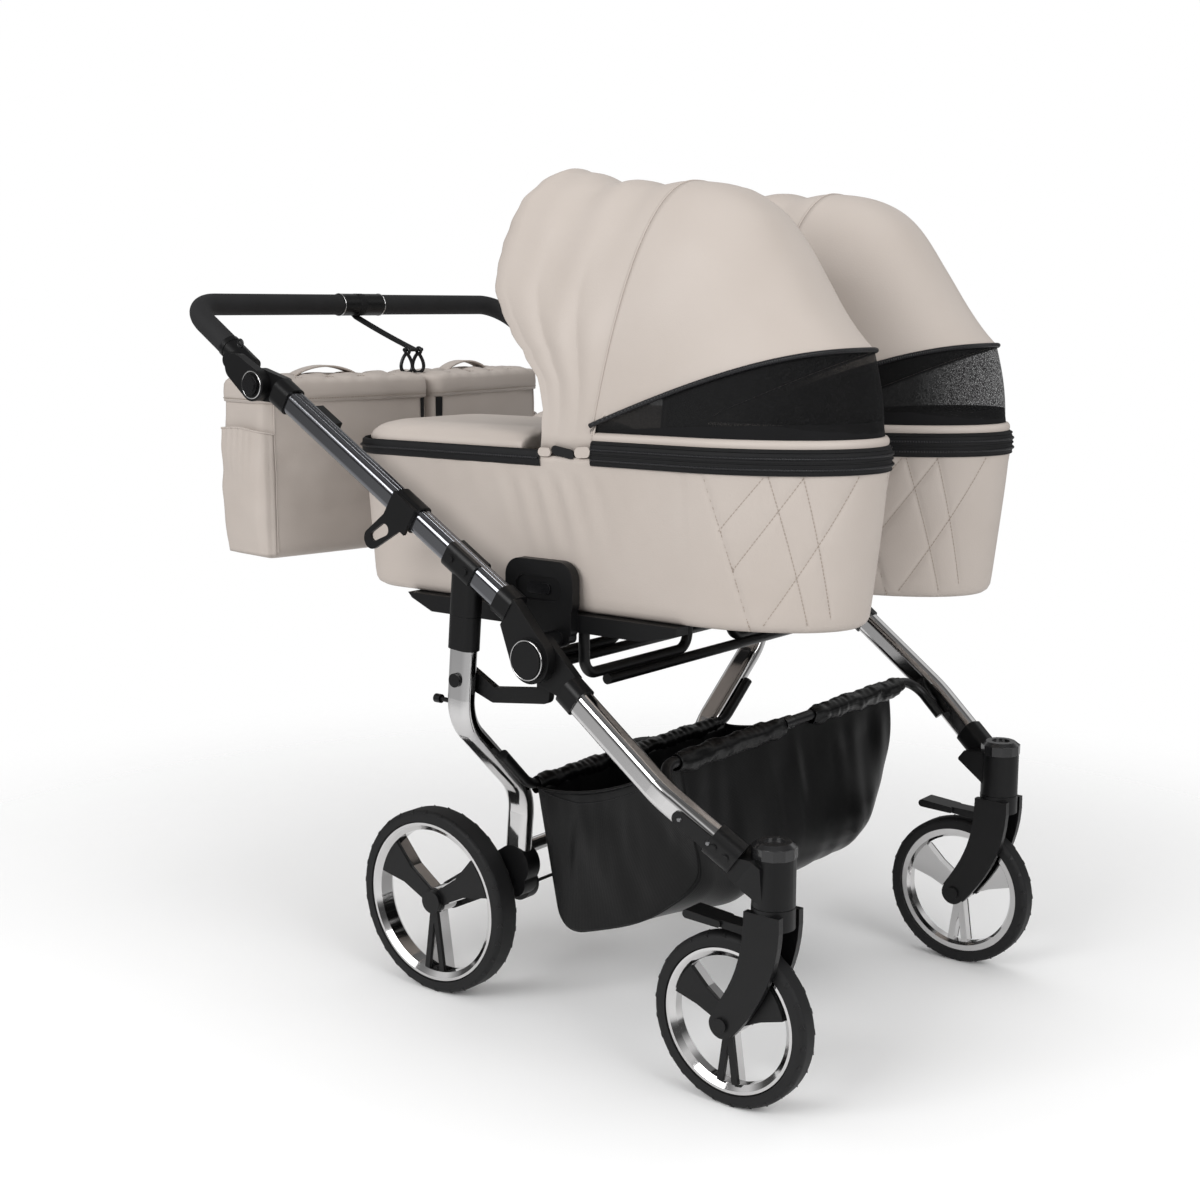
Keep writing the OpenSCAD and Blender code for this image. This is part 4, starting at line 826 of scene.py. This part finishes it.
# The basket's profile from the rear rail by the back, floor and front to the front rail, as (along, height)
BELLY_N = 96
BELLY = rounded([Vector((176.3, 350)), Vector((222, 128)), Vector((505, 218)), Vector((465.6, 446))], (48, 64), BELLY_N)
BASKET_HALF, PANEL_FLARE = 250, 42
REAR_RAIL, FRONT_RAIL, SLEEVE_R = (168, 351), (474, 449), 13.6


def on_line(line, share):
    """A point at a share of a line of equal steps, and the step that it lies on."""
    j = min(BELLY_N - 1, int(share * BELLY_N))
    return line[j].lerp(line[j + 1], share * BELLY_N - j), line[j + 1] - line[j]


def trough_point(u, w):
    """The basket's back, floor and front in one run; the front panel widens upwards and its lower corners are round."""
    p, step = on_line(BELLY, w)
    out = Vector((step.y, -step.x)).normalized()
    rise = within((w - 0.7) / 0.3)
    y = (BASKET_HALF + PANEL_FLARE * math.sin(rise * math.pi / 2)) * (2 * u - 1)
    corner = max(0.0, (abs(y) - 150) / 100) ** 2 * math.exp(-((w - 0.69) / 0.13) ** 2)
    ruche = (1.3 if w < 0.5 else 0.5) * abs(2 * w - 1) ** 2
    fold = ruche * math.sin(y / 6.5 + 2 * w + math.sin(y / 37)) + ripple(y * 1.3, w * 260, 3, 60, 5)
    fold += (5.0 * rise * (1 - rise) + 2.0 * rise) * math.sin(y / 19 + 2.1 * math.sin(y / 47) + w * 2)
    p = p + out * (fold * 0.7 - 1) * min(1, 16 * min(u, 1 - u)) * min(1, 12 * w, 12 * (1 - w))
    return Vector((p.x - 20 * corner, y, p.y + 34 * corner))


def basket():
    inside = at(330, 0, 330)
    bm = grid(140, BELLY_N, lambda u, w: at(*trough_point(u, w)), (0.5, 0.95), inside)
    trough = thicken(shown("basket_trough", bm, [nylon], None, "black_cloth"), 2.0)
    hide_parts("basket")
    pieces = [trough]
    for side, s in SIDES:
        edge = [trough_point((1 + s) / 2, i / BELLY_N) for i in range(BELLY_N + 1)]

        def side_put(u, w):
            high = edge[0].lerp(edge[-1], u) - Vector((0, 0, 24 * math.sin(math.pi * u) ** 0.7))
            p = high.lerp(on_line(edge, u)[0], w)
            full = math.sin(math.pi * u) ** 0.5 * math.sin(math.pi * w) ** 0.6
            wave = ripple(p.x * 1.2, 40 * s, p.z * 0.6, 70, 6) + ripple(p.x * 1.6, 90 * s, p.z * 0.5, 34, 2.6)
            return at(p.x, p.y + s * (5 + wave) * full, p.z)

        bm = grid(72, 48, side_put, (0.3, 0.3), inside)
        panel = thicken(shown("basket_side_" + side, bm, [nylon], None, "black_cloth"), 2.0)
        hem = tube("basket_hem_" + side, [side_put(i / 72, 0) for i in range(73)], 2.4, nylon, None, "black_cloth")
        outward = Vector((0, s, 0))
        line = [(side_put(0.04 + 0.9 * i / 60, 0.075) + outward * 0.0012, outward) for i in range(61)]
        seam = stitched("basket_stitching_" + side, [line], None, zip_coil, slot="black_cloth")
        pieces += [panel, hem, seam]
    for o in pieces:
        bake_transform(o)
    for name, body, rail, centre, y0, y1, ruche in (
            ("basket_sleeve_rear", "rear_legs", "basket_rear_rail", REAR_RAIL, -244, 244, 0.45),
            ("basket_sleeve_front_R", "chassis", "basket_front_rail", FRONT_RAIL, -312, -48, 0.25),
            ("basket_sleeve_front_L", "chassis", "basket_front_rail", FRONT_RAIL, 36, 312, 0.25)):
        def sleeve_put(u, w):
            y, a = y0 + (y1 - y0) * u, 2 * math.pi * w
            c, d = math.cos(a), math.sin(a)
            r = SLEEVE_R + ruche * math.sin(y / 2.4 + 2 * d + math.sin(y / 19))
            r += ripple(y * 1.2, 30 * c, 30 * d, 30, 3.6)
            r *= 0.82 + 0.18 * min(1, 14 * u, 14 * (1 - u))
            return at(centre[0] + r * c, y, centre[1] + (1.25 if d < 0 else 1.0) * r * d)

        length = (y1 - y0) / 1000
        bm = grid(round((y1 - y0) / 2), 20, sleeve_put, (length, 0.08), closed=True)
        turned_out(bm, at(centre[0], (y0 + y1) / 2, centre[1]))
        sleeve = thicken(shown(name, bm, [nylon], body, "black_cloth"), 1.0)
    # Clip on the bare middle of the front rail, and the zip puller under the far sleeve
    tube("basket_clip", [at(474, -44, 450), at(474, -22, 450)], 10.4, gloss_abs, "chassis", "grey_plastic", sides=6)
    puller = [at(460, 160, 428), at(457, 160, 412), at(458, 157, 396), at(460, 158, 384)]
    tube("basket_zip_puller", puller, 1.6, webbing, "chassis", "black_cloth")


basket()


def ring(name, centre, y, major, minor, material_, body, slot, n=48):
    """A round ring standing upright along the pram."""
    points = [at(centre[0] + major * math.cos(a), y, centre[1] + major * math.sin(a))
              for a in (2 * math.pi * i / n for i in range(n))]
    return tube(name, points, minor, material_, body, slot, closed=True)


# Strap over the bar's band, with two carabiners that hold the bags

BAR, CLIP = Vector((-440.788, 1060.157)), Vector((-302, 966.06))
HOOK = CLIP + Vector((-6, 18))
GRIP_R, STRAP_W, HOOK_Y = 18.0, 17, 14
BAND_ENDS = (-45, 50)


def bag_strap():
    r = GRIP_R + 1.2
    down = CLIP - BAR
    start = math.atan2(down.y, down.x) - math.acos(3 / r)
    turn = [start - 2 * math.pi * i / 40 for i in range(41)]
    path = [BAR + r * Vector((math.cos(a), math.sin(a))) for a in turn]
    path += [path[-1].lerp(HOOK + Vector((0, 3)), k) - Vector((0, 1.5 * math.sin(math.pi * k)))
             for k in (i / 16 for i in range(1, 17))]

    def put(u, w):
        p = path[round(u * (len(path) - 1))]
        return at(p.x, STRAP_W * (w - 0.5), p.y)

    bm = grid(len(path) - 1, 4, put, (0.3, 0.017), at(BAR.x, 0, BAR.y))
    strap = thicken(shown("bag_strap_webbing", bm, [webbing], "bag_strap", "black_cloth"), 3.6, 1.0)
    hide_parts("bag_strap")
    rod = [at(HOOK.x, y, HOOK.y) for y in (-22, 22)]
    tube("bag_strap_rod", rod, 3.4, gloss_abs, "bag_strap", "grey_plastic")
    for side, s in SIDES:
        ring("hook_eye_" + side, (HOOK.x, HOOK.y - 2), s * HOOK_Y, 5, 2.8, gloss_abs, "bag_strap", "grey_plastic", 32)
        loop = []
        for a in (2 * math.pi * i / 32 for i in range(32)):
            wide = (5.0 + 3.4 * (1 - math.sin(a))) * math.cos(a)
            loop.append(at(HOOK.x - 2 + 0.5 * wide, s * HOOK_Y + wide, HOOK.y - 23 + 16 * math.sin(a)))
        tube("carabiner_" + side, loop, 3.0, gloss_abs, "bag_strap", "grey_plastic", closed=True)
    band_r = GRIP_R + 0.9
    tube("bar_band", [at(BAR.x, y, BAR.y) for y in BAND_ENDS], band_r, nylon_moulding, "handle", "black_plastic",
         sides=8)
    for k, y in enumerate(BAND_ENDS):
        ring("bar_ring_%d" % k, BAR, y, band_r, 0.8, chrome, "handle", "chrome")


bag_strap()


# Apron over the foot end and mattress: filled from the plain shapes by a short cloth simulation

VOXEL, PRESSURE, TENSION, FRAMES = 0.006, 4, 18, 20


def filled(name, node, material_, body, cap_mm, shrink_mm):
    """A padded piece in a soft solid's place: evened out, shrunk a little, then blown up by at most cap_mm."""
    mesh = nodes[node].data.copy()
    mesh.name = name
    mesh.materials.clear()
    mesh.materials.append(material_)
    o = bpy.data.objects.new(name, mesh)
    scene.collection.objects.link(o)
    bpy.context.view_layer.objects.active = o
    o.select_set(True)
    even = o.modifiers.new("even", "REMESH")
    even.mode = "VOXEL"
    even.voxel_size = VOXEL
    bpy.ops.object.modifier_apply(modifier=even.name)
    rest = [v.co - v.normal * shrink_mm / 1000 for v in o.data.vertices]
    for v, p in zip(o.data.vertices, rest):
        v.co = p
    cloth = o.modifiers.new("cloth", "CLOTH")
    cloth.settings.use_pressure = True
    cloth.settings.uniform_pressure_force = PRESSURE
    cloth.settings.effector_weights.gravity = 0
    cloth.settings.tension_stiffness = TENSION
    cloth.point_cache.frame_start = 1
    cloth.point_cache.frame_end = FRAMES
    for i in range(1, FRAMES + 1):
        scene.frame_set(i)
    bpy.ops.object.modifier_apply(modifier=cloth.name)
    scene.frame_set(1)
    for v, p in zip(o.data.vertices, rest):
        move = v.co - p
        if move.length > cap_mm / 1000:
            v.co = p + move * (cap_mm / 1000 / move.length)
    o.select_set(False)
    for p in o.data.polygons:
        p.use_smooth = True
    soft = o.modifiers.new("softness", "SUBSURF")
    soft.levels = soft.render_levels = 1
    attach(o, body)
    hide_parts(node)


for side, s in SIDES:
    filled("apron_" + side, "cot_apron_" + side, leatherette, "cot_" + side, 6, 2)
    filled("mattress_cover_" + side, "mattress_" + side, jersey, "cot_" + side, 5, 2)


# Rings on the joints' discs

FOLD_AXIS, HUB_AXIS = (292, 582), (-258.168, 939.283)
for side, s in SIDES:
    ring("fold_ring_" + side, FOLD_AXIS, s * 410.2, 27.3, 1.1, chrome, "upper_frame", "chrome")
    ring("hub_ring_" + side, HUB_AXIS, s * 404.2, 20.5, 1.1, chrome, "handle", "chrome")


# Tread blocks: small three-sided blocks round both shoulders of each tyre

# The tyre's shoulder radius, and how far out its middle lies from the shoulder's centre
SHOULDER_R, SHOULDER_OUT = 8, 5.66


def tread(name, centre, y, radius, width, n, body):
    bm = bmesh.new()
    for k in range(n):
        for sign in (-1, 1):
            a = 2 * math.pi * (k + 0.25 * sign) / n
            spoke, aside = Vector((math.cos(a), 0, math.sin(a))), Vector((0, sign, 0))
            reach = radius - SHOULDER_R + SHOULDER_OUT, width / 2 - SHOULDER_R + SHOULDER_OUT
            p = at(centre[0], y, centre[1]) + (spoke * reach[0] + aside * reach[1]) / 1000
            turn = (spoke + aside).normalized().to_track_quat("Z", "Y").to_matrix().to_4x4()
            bmesh.ops.create_cone(bm, cap_ends=True, segments=3, radius1=0.0048, radius2=0.0042, depth=0.0011,
                                  matrix=Matrix.Translation(p) @ turn)
    shown(name, bm, [tread_rubber], body, "tyre", smooth=False)


for side, s in SIDES:
    tread("rear_tread_" + side, (0, 145), s * 281, 145, 42, 30, "rear_wheel_" + side)
    tread("front_tread_" + side, (586, 120), s * 334, 120, 32, 26, "front_wheel_" + side)


# Fittings: a plate with two screws on each lower tube, the collar's eye, the leg's knob, and the tabs at the rim

def plate(name, a, b, across, out, width, thick, material_, body, slot):
    """A flat bar with round ends from a to b, in metres."""
    along = (b - a).normalized()
    bm = bmesh.new()
    bmesh.ops.create_circle(bm, cap_ends=True, segments=32, radius=width / 2)
    for v in bm.verts:
        v.co = (a if v.co.x < 0 else b) + along * v.co.x + across * v.co.y
    for v in bmesh.ops.extrude_face_region(bm, geom=list(bm.faces))["geom"]:
        if isinstance(v, bmesh.types.BMVert):
            v.co += out * thick
    bmesh.ops.recalc_face_normals(bm, faces=bm.faces)
    shown(name, bm, [material_], body, slot, smooth=False)


def screw(name, centre, out, radius, body):
    """A round-headed screw standing on a face."""
    bm = bmesh.new()
    turn = out.to_track_quat("Z", "Y").to_matrix().to_4x4()
    bmesh.ops.create_cone(bm, cap_ends=True, segments=20, radius1=radius, radius2=radius * 0.7, depth=0.0024,
                          matrix=Matrix.Translation(centre + out * 0.001) @ turn)
    shown(name, bm, [spring_steel], body, "steel", smooth=False)


# The lower tube's toe-in and the cosine and sine of its slope, and how far out the legs and the cover's sides lie
TOE_IN, SLOPE_COS, SLOPE_SIN = math.radians(13), 0.8129, 0.5824
LEG_Y, COVER_Y = 388, 329.5
UP = Vector((0, 0, 1))

for side, s in SIDES:
    cot, outward = "cot_" + side, Vector((0, s, 0))
    level, sideways = math.cos(TOE_IN), math.sin(TOE_IN)
    axis = Vector((level * SLOPE_COS, -s * sideways, -level * SLOPE_SIN)).normalized()
    out = Vector((sideways * SLOPE_COS, s * level, -sideways * SLOPE_SIN)).normalized()
    middle = at(508.9, s * LEG_Y, 422) + axis * 0.058 + out * 0.0128
    ends = (middle - axis * 0.024, middle + axis * 0.024)
    plate("tube_plate_" + side, *ends, out.cross(axis).normalized(), out, 0.022, 0.003, nylon_moulding, "chassis",
          "black_plastic")
    for k, p in enumerate(ends):
        screw("tube_screw_%d_%s" % (k, side), p + out * 0.003, out, 0.0036, "chassis")
    ring("collar_eye_" + side, (-299, 1001), s * LEG_Y, 6, 1.6, gloss_abs, "handle", "grey_plastic", 24)
    for name, ends, radius, sides in (("leg_stud_", ((140, 499), (112, 500)), 3.4, 3),
                                      ("leg_knob_", ((113, 500), (102, 500)), 6.5, 6)):
        tube(name + side, [at(x, s * LEG_Y, z) for x, z in ends], radius, nylon_moulding, "rear_legs", "black_plastic",
             sides=sides)
    for name, ends, width, thick, material_, slot in (
            ("hood_tab_", ((280, 862), (306, 858)), 0.013, 0.0022, webbing, "black_cloth"),
            ("rim_end_front_", ((322, 861), (334, 862)), 0.015, 0.003, leatherette, "leatherette"),
            ("rim_end_rear_", ((256, 859), (266, 859)), 0.012, 0.003, leatherette, "leatherette")):
        plate(name + side, *[at(x, s * COVER_Y, z) for x, z in ends], UP, outward, width, thick, material_, cot, slot)


# Light and floor

floor_mesh = bpy.data.meshes.new("floor")
bm = bmesh.new()
bmesh.ops.create_grid(bm, x_segments=1, y_segments=1, size=12)
bm.to_mesh(floor_mesh)
bm.free()
floor = bpy.data.objects.new("floor", floor_mesh)
scene.collection.objects.link(floor)
# Matt white paper that runs out into the white behind it
paper, tree, shader = material("white_paper", "fafafa", 0.9)
spot = add(tree, "ShaderNodeNewGeometry").outputs["Position"]
far = add(tree, "ShaderNodeVectorMath", {0: spot}, operation="LENGTH")
fade = add(tree, "ShaderNodeMapRange", {"Value": far.outputs["Value"], "From Min": 0.75, "From Max": 2.0,
                                        "To Min": 1.0, "To Max": 0.0}, interpolation_type="SMOOTHSTEP")
tree.links.new(fade.outputs["Result"], shader.inputs["Alpha"])
floor_mesh.materials.append(paper)

world = bpy.data.worlds.new("studio")
world.use_nodes = True
scene.world = world
tree = world.node_tree
ground = tree.nodes["Background"]
path = add(tree, "ShaderNodeLightPath")
# Mirrors see a studio with a dark belt at eye level, the camera plain white, and the cloth an even grey
way = add(tree, "ShaderNodeSeparateXYZ", {"Vector": add(tree, "ShaderNodeTexCoord").outputs["Generated"]})
height = add(tree, "ShaderNodeMapRange", {"Value": way.outputs["Z"], "From Min": -1.0, "From Max": 1.0})
studio = add(tree, "ShaderNodeValToRGB", {"Fac": height.outputs["Result"]})
for height_, level in ((0.0, 0.7), (0.36, 0.66), (0.45, 0.3), (0.51, 0.08), (0.59, 0.1), (0.65, 0.45), (0.7, 0.85),
                       (0.75, 0.8), (0.8, 0.25), (0.9, 0.12), (1.0, 0.3)):
    if height_ in (0.0, 1.0):
        stop = studio.color_ramp.elements[0 if height_ == 0.0 else -1]
    else:
        stop = studio.color_ramp.elements.new(height_)
    stop.color = (level, level, level, 1)
mirror = add(tree, "ShaderNodeMix", {"Factor": path.outputs["Is Glossy Ray"]}, data_type="RGBA")
mirror.inputs["A"].default_value = (0.58, 0.58, 0.58, 1)
tree.links.new(studio.outputs["Color"], mirror.inputs["B"])
direct = add(tree, "ShaderNodeMath", {0: path.outputs["Is Camera Ray"], 1: path.outputs["Is Transmission Ray"]},
             operation="MAXIMUM")
behind = add(tree, "ShaderNodeMix", {"Factor": direct.outputs[0]}, data_type="RGBA")
tree.links.new(mirror.outputs["Result"], behind.inputs["A"])
behind.inputs["B"].default_value = (1, 1, 1, 1)
tree.links.new(behind.outputs["Result"], ground.inputs["Color"])
ground.inputs["Strength"].default_value = 1.0


def lamp(name, place_, target, size, watts, mirrored=True):
    """A soft rectangular lamp turned to a target."""
    data = bpy.data.lights.new(name, "AREA")
    data.shape = "RECTANGLE"
    data.size, data.size_y = size
    data.energy = watts
    o = bpy.data.objects.new(name, data)
    o.location = place_
    o.visible_glossy = mirrored
    o.rotation_euler = (Vector(target) - Vector(place_)).to_track_quat("-Z", "Y").to_euler()
    scene.collection.objects.link(o)


lamp("key", (-0.3, -3.4, 2.2), (0, 0, 0.7), (2.4, 1.8), 76)
lamp("fill", (3.2, -0.8, 1.8), (0, 0, 0.7), (2.0, 2.0), 46)
lamp("top", (0, 0.3, 3.4), (0, 0, 0.6), (2.6, 2.6), 24, mirrored=False)

scene.view_settings.view_transform = "Standard"
